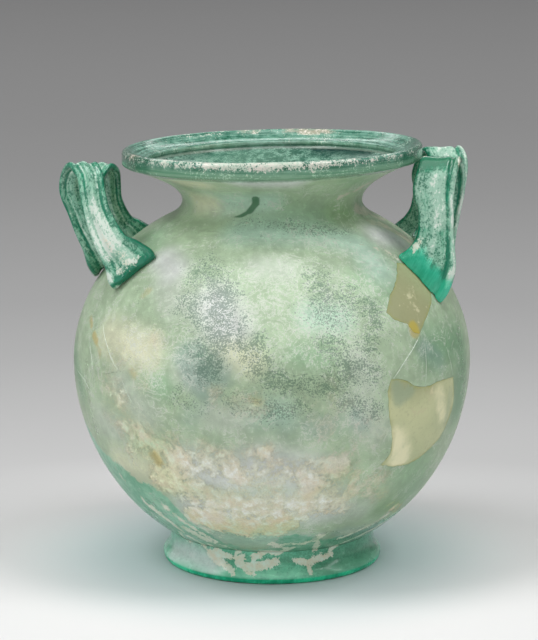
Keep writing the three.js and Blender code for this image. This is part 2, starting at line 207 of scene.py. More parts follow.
def globe_row(lat):
    """Radius and height on the outside of the globe at an angle above its widest place, with its normal."""
    half = SHOULDER_RISE if lat > 0 else BELLY_DEPTH
    angle = math.radians(lat)
    point = (GLOBE_RADIUS * math.cos(angle), GLOBE_CENTRE_Z + half * math.sin(angle))
    slope = Vector((math.cos(angle) / GLOBE_RADIUS, math.sin(angle) / half)).normalized()
    return point, (slope.x, slope.y)


def place(point, azimuth, normal=(0, 0), depth=0):
    """A profile point turned to an azimuth in degrees, sunk below the surface by a depth, in metres."""
    angle = math.radians(azimuth)
    radius = point[0] - normal[0] * depth
    height = point[1] - normal[1] * depth
    spot = Vector((radius * math.cos(angle), radius * math.sin(angle), height))
    ripple = unevenness(spot * BROAD_RIPPLE, spot * FINE_RIPPLE)
    outwards = Vector((math.cos(angle) * normal[0], math.sin(angle) * normal[0], normal[1]))
    spot += outwards * ripple * float(smooth(height, *RIPPLE_HEIGHTS)) * RIPPLE_HEIGHT
    tilt = float(smooth(height, shoulder_z(NECK_BLEND_RADIUS), RIM_Z - RIM_FACE))
    spot.z += spot.x * MOUTH_TILT * tilt
    return placed(*spot)


def bezier(points, steps):
    """Points of a Bezier curve of any degree."""
    degree = len(points) - 1
    curve = []
    for share in even_steps(0, 1, steps):
        spot = Vector((0, 0))
        for i, point in enumerate(points):
            spot += Vector(point) * math.comb(degree, i) * share**i * (1 - share) ** (degree - i)
        curve.append(tuple(spot))
    return curve


def vessel_rows():
    """Rows of the outside from the base to the flare, as [point, normal, latitude or None]."""
    underside = bezier([(0, BASE_FLAT_Z + PUSH_UP), (PUSH_UP_TOP_RADIUS, BASE_FLAT_Z + PUSH_UP),
                        (PUSH_UP_FOOT_RADIUS, BASE_FLAT_Z + 1), (BASE_FLAT_RADIUS + 6, BASE_FLAT_Z - 2.4),
                        (BASE_RADIUS, belly_z(BASE_RADIUS))], UNDERSIDE_ROWS)
    lowest = -90 + math.degrees(math.asin(BASE_RADIUS / GLOBE_RADIUS))
    highest = math.degrees(math.acos(NECK_BLEND_RADIUS / GLOBE_RADIUS))
    lats = even_steps(lowest, LAT_LOW, round((LAT_LOW - lowest) / ROW_STEP))[1:-1]
    lats += even_steps(LAT_LOW, LAT_HIGH, round((LAT_HIGH - LAT_LOW) / ROW_STEP))
    lats += even_steps(LAT_HIGH, highest, round((highest - LAT_HIGH) / ROW_STEP))[1:]
    rows = [[point, None, None] for point in underside] + [[*globe_row(lat), lat] for lat in lats]
    start = rows[-1][0]
    slope = SHOULDER_RISE / GLOBE_RADIUS / math.tan(math.radians(highest))
    corner = (NECK_RADIUS, start[1] + (start[0] - NECK_RADIUS) * slope)
    rows += [[point, None, None] for point in bezier([start, corner, (NECK_RADIUS, NECK_Z)], NECK_ROWS)[1:]]
    width = RIM_RADIUS - RIM_ROLL - NECK_RADIUS
    for share in even_steps(0, 1, FLARE_ROWS)[1:]:
        rows.append([(NECK_RADIUS + width * share**2, NECK_Z + FLARE_RISE * share), None, None])
    for i, row in enumerate(rows):
        if row[1] is None:
            before = Vector(rows[max(i - 1, 0)][0])
            after = Vector(rows[min(i + 1, len(rows) - 1)][0])
            along = (after - before).normalized()
            row[1] = (along.y, -along.x) if i else (0, -1)
    return rows


def arc_rows(centre, radius, start, end, steps):
    """Rows along an arc between two angles in degrees."""
    made = []
    for angle in even_steps(math.radians(start), math.radians(end), steps):
        normal = (math.cos(angle), math.sin(angle))
        made.append([(centre[0] + radius * normal[0], centre[1] + radius * normal[1]), normal])
    return made


def rim_rows():
    """Rows over the folded rim, from the end of the flare to the fold's lip."""
    lower = (RIM_RADIUS - RIM_ROLL, RIM_Z - RIM_FACE + RIM_ROLL)
    upper = (RIM_RADIUS - RIM_ROLL, RIM_Z - RIM_ROLL)
    lip = (RIM_RADIUS - FOLD_WIDTH + FOLD_LIP / 2, RIM_Z - FOLD_DROP - FOLD_LIP / 2)
    rows = arc_rows(lower, RIM_ROLL, -70, 0, 5) + arc_rows(upper, RIM_ROLL, 0, 115, 9)
    top, edge = Vector(rows[-1][0]), Vector((lip[0], lip[1] + FOLD_LIP / 2))
    for share in even_steps(0, 1, FOLD_ROWS)[1:-1]:
        point = top.lerp(edge, share) - Vector((0, FOLD_SAG * math.sin(math.pi * share)))
        rows.append([point, (0.3, 0.95)])
    return rows + arc_rows(lip, FOLD_LIP / 2, 90, 240, 7)


# Breaks and fills, as [azimuth, angle above the middle] in degrees
FILL_TIP = (-42.6, 16.6)
UPPER_LEFT = [(-37.0, 41), (-43.0, 35.4), (-49.6, 30.4), (-53.3, 25.2), (-51.2, 22.6), (-46.3, 20.4),
              (-45.2, 17.8)]
UPPER_RIGHT = [(-38.9, 20), (-31.4, 25.2)]
UPPER_UNDER_HANDLE = [(-28.5, 28.6), (-31.0, 33.5), (-32.5, 39.8)]
LOWER_CORNER = (-55.6, 3.9)
LOWER_TOP_LEFT = [(-53.0, 3.6), (-49.9, 2.4), (-47.2, 0.4)]
LOWER_TOP_MIDDLE = (-42.8, -0.6)
LOWER_TOP_RIGHT = [(-39.4, -0.5), (-34.5, -0.1)]
LOWER_RIGHT_CORNER = (-28.0, -0.4)
LOWER_SIDES = [(-26.4, -7), (-26.7, -10.3), (-28.9, -14.6), (-31.0, -17.5), (-35.5, -19.9), (-40.1, -22),
               (-44.8, -22.9), (-51.1, -22.6), (-56.2, -21.3), (-53.6, -18.2), (-53.8, -13.8), (-56.0, -6.9),
               (-56.9, 0)]
CRACK_FRONT = [(-46.4, 12.6), (-49.9, 9.3)]
CRACK_MIDDLE = [(-41.5, 12), (-42.3, 5.4)]
CRACK_SIDE = [(-30.6, 17.6), (-30.6, 10.1), (-29.3, 5)]
LEFT_SHERD = [(-149.4, 17.8), (-145.9, 13.4), (-143.6, 10.9), (-140.8, 7.5), (-137.8, 4), (-144.5, 2.1),
              (-150.7, 2.6), (-152.1, 6.2), (-154.9, 10.4), (-153.6, 15.1)]
WALL_PIECES = {
    "fill_upper": [*UPPER_LEFT, FILL_TIP, *UPPER_RIGHT, *UPPER_UNDER_HANDLE],
    "fill_lower": [LOWER_CORNER, *LOWER_TOP_LEFT, LOWER_TOP_MIDDLE, *LOWER_TOP_RIGHT, LOWER_RIGHT_CORNER,
                   *LOWER_SIDES],
    "sherd_right_front": [FILL_TIP, *CRACK_FRONT, LOWER_CORNER, *LOWER_TOP_LEFT, LOWER_TOP_MIDDLE,
                          *reversed(CRACK_MIDDLE)],
    "sherd_right_side": [FILL_TIP, *CRACK_MIDDLE, LOWER_TOP_MIDDLE, *LOWER_TOP_RIGHT, LOWER_RIGHT_CORNER,
                         *reversed(CRACK_SIDE), *reversed(UPPER_RIGHT)],
    "sherd_left": LEFT_SHERD,
}
RIGHT_GROUP = [*UPPER_LEFT, FILL_TIP, *CRACK_FRONT, LOWER_CORNER, *reversed(LOWER_SIDES), LOWER_RIGHT_CORNER,
               *reversed(CRACK_SIDE), UPPER_RIGHT[-1], *UPPER_UNDER_HANDLE]
WINDOWS = [(-60, -22.5, -26, LAT_HIGH), (-159, -133.5, -2, 22)]


def finer(outline):
    """An outline's sides cut into short steps, bent a little by a fixed noise."""
    made = []
    for start, end in pairs(outline):
        count = max(1, round(math.dist(start, end) / OUTLINE_STEP))
        for share in even_steps(0, 1, count)[:-1]:
            spot = Vector(start).lerp(Vector(end), share)
            at = Vector((spot.x, spot.y, BREAK_PLANE)) * BREAK_WAVES
            bend = Vector((noise.noise(at), noise.noise(at + BREAK_SHIFT)))
            made.append(tuple(spot + bend * math.sin(math.pi * share) * BREAK_WAVE))
    return made


def moved(outline, margin):
    """The outline moved outwards by a margin in millimetres."""
    area = sum(start[0] * end[1] - end[0] * start[1] for start, end in pairs(outline))
    turn = 1 if area > 0 else -1
    degree = math.radians(GLOBE_RADIUS)
    made = []
    for i, spot in enumerate(outline):
        scale = Vector((degree * math.cos(math.radians(spot[1])), degree))
        last, here, following = (Vector(outline[k % len(outline)]) * scale for k in (i - 1, i, i + 1))
        before = (here - last).normalized()
        after = (following - here).normalized()
        square = Vector((after.y, -after.x))
        side = Vector((before.y + after.y, -(before.x + after.x)))
        side = side.normalized() if side.length > CLOSE else square
        here += side * margin * turn / max(side.dot(square), MITRE_LIMIT)
        made.append((here.x / scale.x, here.y / scale.y))
    return made


def inside(spot, outline):
    """True for a spot inside a closed outline."""
    x, y = spot
    crossed = [(y1 > y) != (y2 > y) and x < (x2 - x1) * (y - y1) / (y2 - y1) + x1
               for (x1, y1), (x2, y2) in pairs(outline)]
    return sum(crossed) % 2 == 1


def inside_window(outline, window):
    left, right, bottom, top = window
    return all(left < azimuth < right and bottom < lat < top for azimuth, lat in outline)


def search_tree(spots):
    """A tree that finds the nearest of some places."""
    tree = kdtree.KDTree(len(spots))
    for i, spot in enumerate(spots):
        tree.insert(spot, i)
    tree.balance()
    return tree


def cut_window(window):
    """Triangles of one window of the globe, sorted into the vessel and its wall pieces."""
    left, right, bottom, top = window
    columns = even_steps(left, right, round((right - left) / COLUMN_STEP))
    lats = even_steps(bottom, top, round((top - bottom) / ROW_STEP))
    holes = [moved(finer(outline), CRACK_GAP / 2) for outline in (RIGHT_GROUP, LEFT_SHERD)
             if inside_window(outline, window)]
    pieces = {name: moved(finer(outline), -CRACK_GAP / 2) for name, outline in WALL_PIECES.items()
              if inside_window(outline, window)}
    loops = [*holes, *pieces.values()]
    tree = search_tree([(*spot, 0) for loop in loops for spot in loop])
    known = {}
    for lat in lats:
        for azimuth in columns:
            on_border = azimuth in (left, right) or lat in (bottom, top)
            if on_border or tree.find((azimuth, lat, 0))[2] > GRID_CLEARANCE:
                known[(azimuth, lat)] = len(known)
    spots = list(known)
    border = [(azimuth, bottom) for azimuth in columns] + [(right, lat) for lat in lats[1:]]
    border += [(azimuth, top) for azimuth in reversed(columns[:-1])]
    border += [(left, lat) for lat in reversed(lats[1:-1])]
    edges = [(known[start], known[end]) for start, end in pairs(border)]
    for loop in loops:
        edges += pairs(range(len(spots), len(spots) + len(loop)))
        spots += loop
    points, _, faces, *_ = delaunay_2d_cdt([Vector(spot) for spot in spots], edges, [], 0, CUT_TOLERANCE)
    sorted_faces = {name: [] for name in ["vessel", *pieces]}
    for face in faces:
        centre = sum((points[i] for i in face), Vector((0, 0))) / len(face)
        owner = next((name for name in pieces if inside(centre, pieces[name])), None)
        if owner is None and not any(inside(centre, hole) for hole in holes):
            owner = "vessel"
        if owner:
            sorted_faces[owner].append([tuple(points[i]) for i in face])
    return sorted_faces


def on_window(start, end):
    """True for an edge on the border of a window."""
    for left, right, bottom, top in WINDOWS:
        for axis, side in ((0, left), (0, right), (1, bottom), (1, top)):
            if abs(start[axis] - side) < CLOSE and abs(end[axis] - side) < CLOSE:
                return True
    return False


def band(builder, lower, upper, skip=()):
    """Faces between two rings of points, apart from those in a range of azimuths to skip."""
    count = len(lower)
    for i in range(count):
        azimuth = -180 + 360 * (i + 0.5) / count
        if any(left < azimuth < right for left, right in skip):
            continue
        after = (i + 1) % count
        loop = list(dict.fromkeys([lower[i], lower[after], upper[after], upper[i]]))
        if len(loop) > 2:
            builder.faces.new(loop)


def capped_skin(builder, rings):
    """Faces from each ring to the next, with a lid on both ends."""
    for lower, upper in zip(rings, rings[1:]):
        band(builder, lower, upper)
    builder.faces.new(list(reversed(rings[0])))
    builder.faces.new(rings[-1])


def ring(builder, point, normal, depth=0, count=COLUMNS):
    """A ring of points round the urn, or one point on its axis."""
    if point[0] < CLOSE:
        return [builder.verts.new(place(point, 0, normal, depth))] * count
    return [builder.verts.new(place(point, -180 + 360 * i / count, normal, depth)) for i in range(count)]


def finish_mesh(name, builder):
    """A smooth shaded object from a bmesh, welded and facing outwards, with its sharp edges kept sharp."""
    bmesh.ops.remove_doubles(builder, verts=builder.verts, dist=WELD_DISTANCE)
    bmesh.ops.recalc_face_normals(builder, faces=builder.faces)
    mesh = bpy.data.meshes.new(name)
    builder.to_mesh(mesh)
    builder.free()
    mesh.polygons.foreach_set("use_smooth", [True] * len(mesh.polygons))
    mesh.set_sharp_from_angle(angle=math.radians(SHARP_ANGLE))
    made = bpy.data.objects.new(name, mesh)
    bpy.context.scene.collection.objects.link(made)
    return made


def wall_patch(builder, faces):
    """Outer and inner skins over flat triangles, with walls along open edges that no window ends at."""
    corners = {}

    def vertex(spot, depth):
        key = (round(spot[0], 5), round(spot[1], 5), depth)
        if key not in corners:
            point, normal = globe_row(spot[1])
            corners[key] = builder.verts.new(place(point, spot[0], normal, depth))
        return corners[key]

    edges = {}
    for face in faces:
        edges.update(dict.fromkeys(pairs(face)))
        builder.faces.new([vertex(spot, 0) for spot in face])
        builder.faces.new([vertex(spot, WALL) for spot in reversed(face)])
    for start, end in edges:
        if (end, start) not in edges and not on_window(start, end):
            builder.faces.new([vertex(start, 0), vertex(start, WALL), vertex(end, WALL), vertex(end, 0)])


def build_wall(name, faces):
    """A sherd or fill of the globe's wall."""
    builder = bmesh.new()
    wall_patch(builder, faces)
    return finish_mesh(name, builder)


def build_vessel(name, window_faces):
    """The blown vessel: rows of the outside and inside, the rim, and the windows with their holes."""
    builder = bmesh.new()
    rows = vessel_rows()
    fold_end = RIM_RADIUS - FOLD_WIDTH
    kept = [row for row in rows if row[0][1] <= NECK_Z or row[0][0] - row[1][0] * WALL <= fold_end]
    outer = [ring(builder, point, normal) for point, normal, _ in rows]
    inner = [ring(builder, point, normal, WALL) for point, normal, _ in kept]
    for i, (lower, upper) in enumerate(zip(rows, rows[1:])):
        skip = []
        if lower[2] is not None and upper[2] is not None:
            middle = (lower[2] + upper[2]) / 2
            skip = [(left, right) for left, right, bottom, top in WINDOWS if bottom < middle < top]
        band(builder, outer[i], outer[i + 1], skip)
        if i + 1 < len(inner):
            band(builder, inner[i + 1], inner[i], skip)
    over = [outer[-1], *[ring(builder, point, normal) for point, normal in rim_rows()], inner[-1]]
    for lower, upper in zip(over, over[1:]):
        band(builder, lower, upper)
    for faces in window_faces:
        wall_patch(builder, faces)
    return finish_mesh(name, builder)


def foot_profile():
    """The foot ring's section: a thick rounded edge, a concave waist and a seat under the globe."""
    inner = FOOT_WAIST_RADIUS - FOOT_THICKNESS
    rest_outer = (FOOT_RADIUS - FOOT_EDGE_ROUND, 0)
    rest_inner = (rest_outer[0] - FOOT_REST_WIDTH, 0)
    widest = (FOOT_RADIUS, FOOT_EDGE_HEIGHT / 2)
    waist = (FOOT_WAIST_RADIUS, FOOT_WAIST_Z)
    side = bezier([rest_outer, (FOOT_RADIUS, 0), widest], FOOT_EDGE_ROWS)
    side += bezier([widest, (FOOT_RADIUS - 1, FOOT_EDGE_HEIGHT), (FOOT_WAIST_RADIUS + 0.2, FOOT_EDGE_HEIGHT),
                    waist], FOOT_SIDE_ROWS)[1:]
    seat = [(radius, belly_z(max(radius, FOOT_SEAT_FLAT_RADIUS)) - HAIRLINE_SEAM)
            for radius in even_steps(FOOT_WAIST_RADIUS + 0.15, inner, FOOT_SEAT_ROWS)]
    inside_wall = bezier([(inner, FOOT_EDGE_HEIGHT), (inner, 0), rest_inner], FOOT_EDGE_ROWS)
    return [*side, (FOOT_WAIST_RADIUS - 0.1, FOOT_WAIST_Z + 2), *seat, *inside_wall]


def build_foot(name):
    """The foot ring: a splayed coil, a little wavy, seated on the globe by a hairline gap."""
    builder = bmesh.new()
    rings = []
    for radius, height in foot_profile():
        lift = float(smooth(height, 1, 6) * (1 - smooth(height, 10, 15)))
        out = float(1 - smooth(height, 9, 14))
        points = []
        for i in range(COLUMNS):
            angle = math.radians(-180 + COLUMN_STEP * i)
            around = Vector((math.cos(angle), math.sin(angle), 0))
            wave = unevenness(around * 1.6 + FOOT_SHIFT, around * 6)
            spot = around * (radius + wave * FOOT_WAVE_OUT * out)
            spot.z = height + wave * FOOT_WAVE_UP * lift
            points.append(builder.verts.new(placed(*spot)))
        rings.append(points)
    for lower, upper in pairs(rings):
        band(builder, lower, upper)
    return finish_mesh(name, builder)


# Stations of half a handle in shares of its sizes, as in the solids:
# spread, depth outwards, height, width, thickness, droop in degrees
LEFT_STATIONS = [
    (1.075, -0.066, 0.035, 2, 1.1, 38), (1.01, -0.006, 0.084, 2.033, 1.6, 39),
    (0.97, 0.107, 0.164, 1.733, 1.5, 38), (0.95, 0.284, 0.276, 1.267, 1.15, 32),
    (0.88, 0.433, 0.425, 1.1, 1.05, 22), (0.8, 0.567, 0.6, 1, 1, 10), (0.72, 0.642, 0.792, 0.967, 1, 2),
    (0.64, 0.687, 0.927, 0.967, 1, 0), (0.52, 0.806, 1, 1.033, 1, 0), (0.39, 0.94, 0.923, 1.067, 1, 2),
    (0.34, 1, 0.757, 1.067, 1, 4), (0.33, 0.881, 0.565, 1.067, 1, 10), (0.33, 0.746, 0.372, 1.133, 1, 20),
    (0.3, 0.582, 0.198, 1.333, 1.1, 32), (0.18, 0.493, 0.07, 1.6, 1.2, 42),
    (0, 0.463, 0.026, 1.8, 1.25, 44),
]
RIGHT_STATIONS = [
    (0.88, -0.14, -0.24, 1.636, 1.9, 44), (0.96, 0.186, -0.084, 1.636, 1.8, 44),
    (0.99, 0.419, 0.07, 1.409, 1.45, 39), (0.95, 0.535, 0.218, 1.091, 1.2, 28),
    (0.89, 0.581, 0.383, 0.909, 1.05, 15), (0.83, 0.581, 0.575, 0.909, 1, 6),
    (0.76, 0.535, 0.749, 1.068, 1, 0), (0.68, 0.628, 0.909, 1.023, 1, 0), (0.54, 0.744, 1, 1.023, 1, 0),
    (0.4, 0.907, 0.923, 0.955, 1, 0), (0.35, 1, 0.732, 0.818, 1, 2), (0.34, 0.93, 0.523, 0.773, 1, 6),
    (0.34, 0.814, 0.331, 0.818, 1, 14), (0.3, 0.698, 0.157, 0.955, 1.1, 30),
    (0.18, 0.605, 0.052, 1.091, 1.2, 42), (0, 0.581, 0.026, 1.182, 1.25, 44),
]


def curve_point(points, share):
    """A point on a centripetal spline through the points, at an even share of its spans."""
    spans = len(points) - 1
    at = min(max(share, 0), 1) * spans
    i = min(int(at), spans - 1)
    weight = at - i
    p1, p2 = points[i], points[i + 1]
    p0 = points[i - 1] if i > 0 else p1 * 2 - p2
    p3 = points[i + 2] if i + 2 <= spans else p2 * 2 - p1
    gaps = [math.sqrt((b - a).length) for a, b in ((p0, p1), (p1, p2), (p2, p3))]
    gaps[1] = gaps[1] if gaps[1] > TINY else 1
    gaps = [gap if gap > TINY else gaps[1] for gap in gaps]
    t1 = ((p1 - p0) / gaps[0] - (p2 - p0) / (gaps[0] + gaps[1]) + (p2 - p1) / gaps[1]) * gaps[1]
    t2 = ((p2 - p1) / gaps[1] - (p3 - p1) / (gaps[1] + gaps[2]) + (p3 - p2) / gaps[2]) * gaps[1]
    c2 = (p2 - p1) * 3 - t1 * 2 - t2
    c3 = (p1 - p2) * 2 + t1 + t2
    return p1 + t1 * weight + c2 * weight**2 + c3 * weight**3


def globe_cutter(clearance):
    """The globe's outside, grown by a clearance, as a cutter."""
    builder = bmesh.new()
    rows = [globe_row(lat) for lat in even_steps(-90, 90, CUTTER_ROWS)]
    rings = [ring(builder, point, normal, -clearance, CUTTER_COLUMNS) for point, normal in rows]
    for lower, upper in zip(rings, rings[1:]):
        band(builder, lower, upper)
    return finish_mesh("cutter", builder)


def handle_course(side, stations, spread, depth, height, width, far):
    """A handle's centre line and its width, thickness and droop, from the near foot to the far foot."""
    foot_z = shoulder_z(math.hypot(STRAP_REACH, spread))
    far_rise, far_foot, far_top, far_width = far
    both = [(*station, -1) for station in stations] + [(*station, 1) for station in reversed(stations[:-1])]
    route, form = [], []
    for share, out, up, wide, thick, droop, half in both:
        level = min(max(up * height / 50, 0), 1)
        reach = STRAP_REACH + out * depth + (far_foot + (far_top - far_foot) * level if half > 0 else 0)
        rise = up * height * (far_rise if half > 0 else 1)
        route.append(Vector((side * reach, half * share * spread, foot_z + rise)))
        form.append(Vector((wide * width * (far_width if half > 0 else 1), thick * STRAP_THICKNESS,
                            math.radians(droop))))
    return route, form


def strap(name, side, route, form, ribs):
    """A ribbed strap along a route, and the lay of each point: its place along, across and in the ribs."""
    builder = bmesh.new()
    rings, lays = [], []
    length = 0
    last = route[0]
    for share in even_steps(0, 1, HANDLE_RINGS):
        centre = curve_point(route, share)
        length += (centre - last).length
        last = centre
        along = (curve_point(route, share + 0.001) - curve_point(route, share - 0.001)).normalized()
        wide, thick, droop = curve_point(form, share)
        across = Vector((side * math.cos(droop), 0, -math.sin(droop)))
        face = along.cross(across).normalized()
        across = face.cross(along).normalized()
        points = []
        for i in range(HANDLE_SIDES):
            angle = 2 * math.pi * (i + 0.5) / HANDLE_SIDES
            cos, sin = math.cos(angle), math.sin(angle)
            x = math.copysign(abs(cos) ** STRAP_FLATNESS[0], cos)
            y = math.copysign(abs(sin) ** STRAP_FLATNESS[1], sin)
            grain = noise.noise(Vector((x * 3, length * 0.05, side * 3))) * STRAP_GRAIN
            spot = centre + across * (x * wide / 2) + face * (y * (thick / 2 + ribs(x) + grain))
            points.append(builder.verts.new(placed(*spot)))
            lays.append((points[-1].co.copy(), (length * MM, x * wide / 2 * MM, x)))
        rings.append(points)
    capped_skin(builder, rings)
    return finish_mesh(name, builder), lays


def melt(made):
    """Cut a strap to the globe and round its edges by a fine remesh."""
    cutter = globe_cutter(HAIRLINE_SEAM)
    carve = made.modifiers.new("seat", "BOOLEAN")
    carve.operation = "DIFFERENCE"
    carve.solver = "MANIFOLD"
    carve.object = cutter
    remesh = made.modifiers.new("melt", "REMESH")
    remesh.mode = "VOXEL"
    remesh.voxel_size = HANDLE_VOXEL * MM
    soften = made.modifiers.new("soften", "SMOOTH")
    soften.factor = 0.5
    soften.iterations = 3
    graph = bpy.context.evaluated_depsgraph_get()
    mesh = bpy.data.meshes.new_from_object(made.evaluated_get(graph), depsgraph=graph)
    made.modifiers.clear()
    made.data = mesh
    bpy.data.objects.remove(cutter)
    mesh.polygons.foreach_set("use_smooth", [True] * len(mesh.polygons))


def build_handle(name, side, stations, ribs, **sizes):
    """A ribbed strap in an M, cut to the globe, with its lay kept for streaks."""
    route, form = handle_course(side, stations, **sizes)
    made, lays = strap(name, side, route, form, ribs)
    melt(made)
    tree = search_tree([spot for spot, _ in lays])
    values = []
    for vertex in made.data.vertices:
        found = tree.find_n(vertex.co, LAY_NEIGHBOURS)
        weights = [1 / (item[2] + LAY_BLUR) for item in found]
        near = sum(np.array(lays[item[1]][1]) * weight for item, weight in zip(found, weights))
        values.append(near / sum(weights))
    keep(made.data, "lay", np.array(values), "FLOAT_VECTOR")
    return made


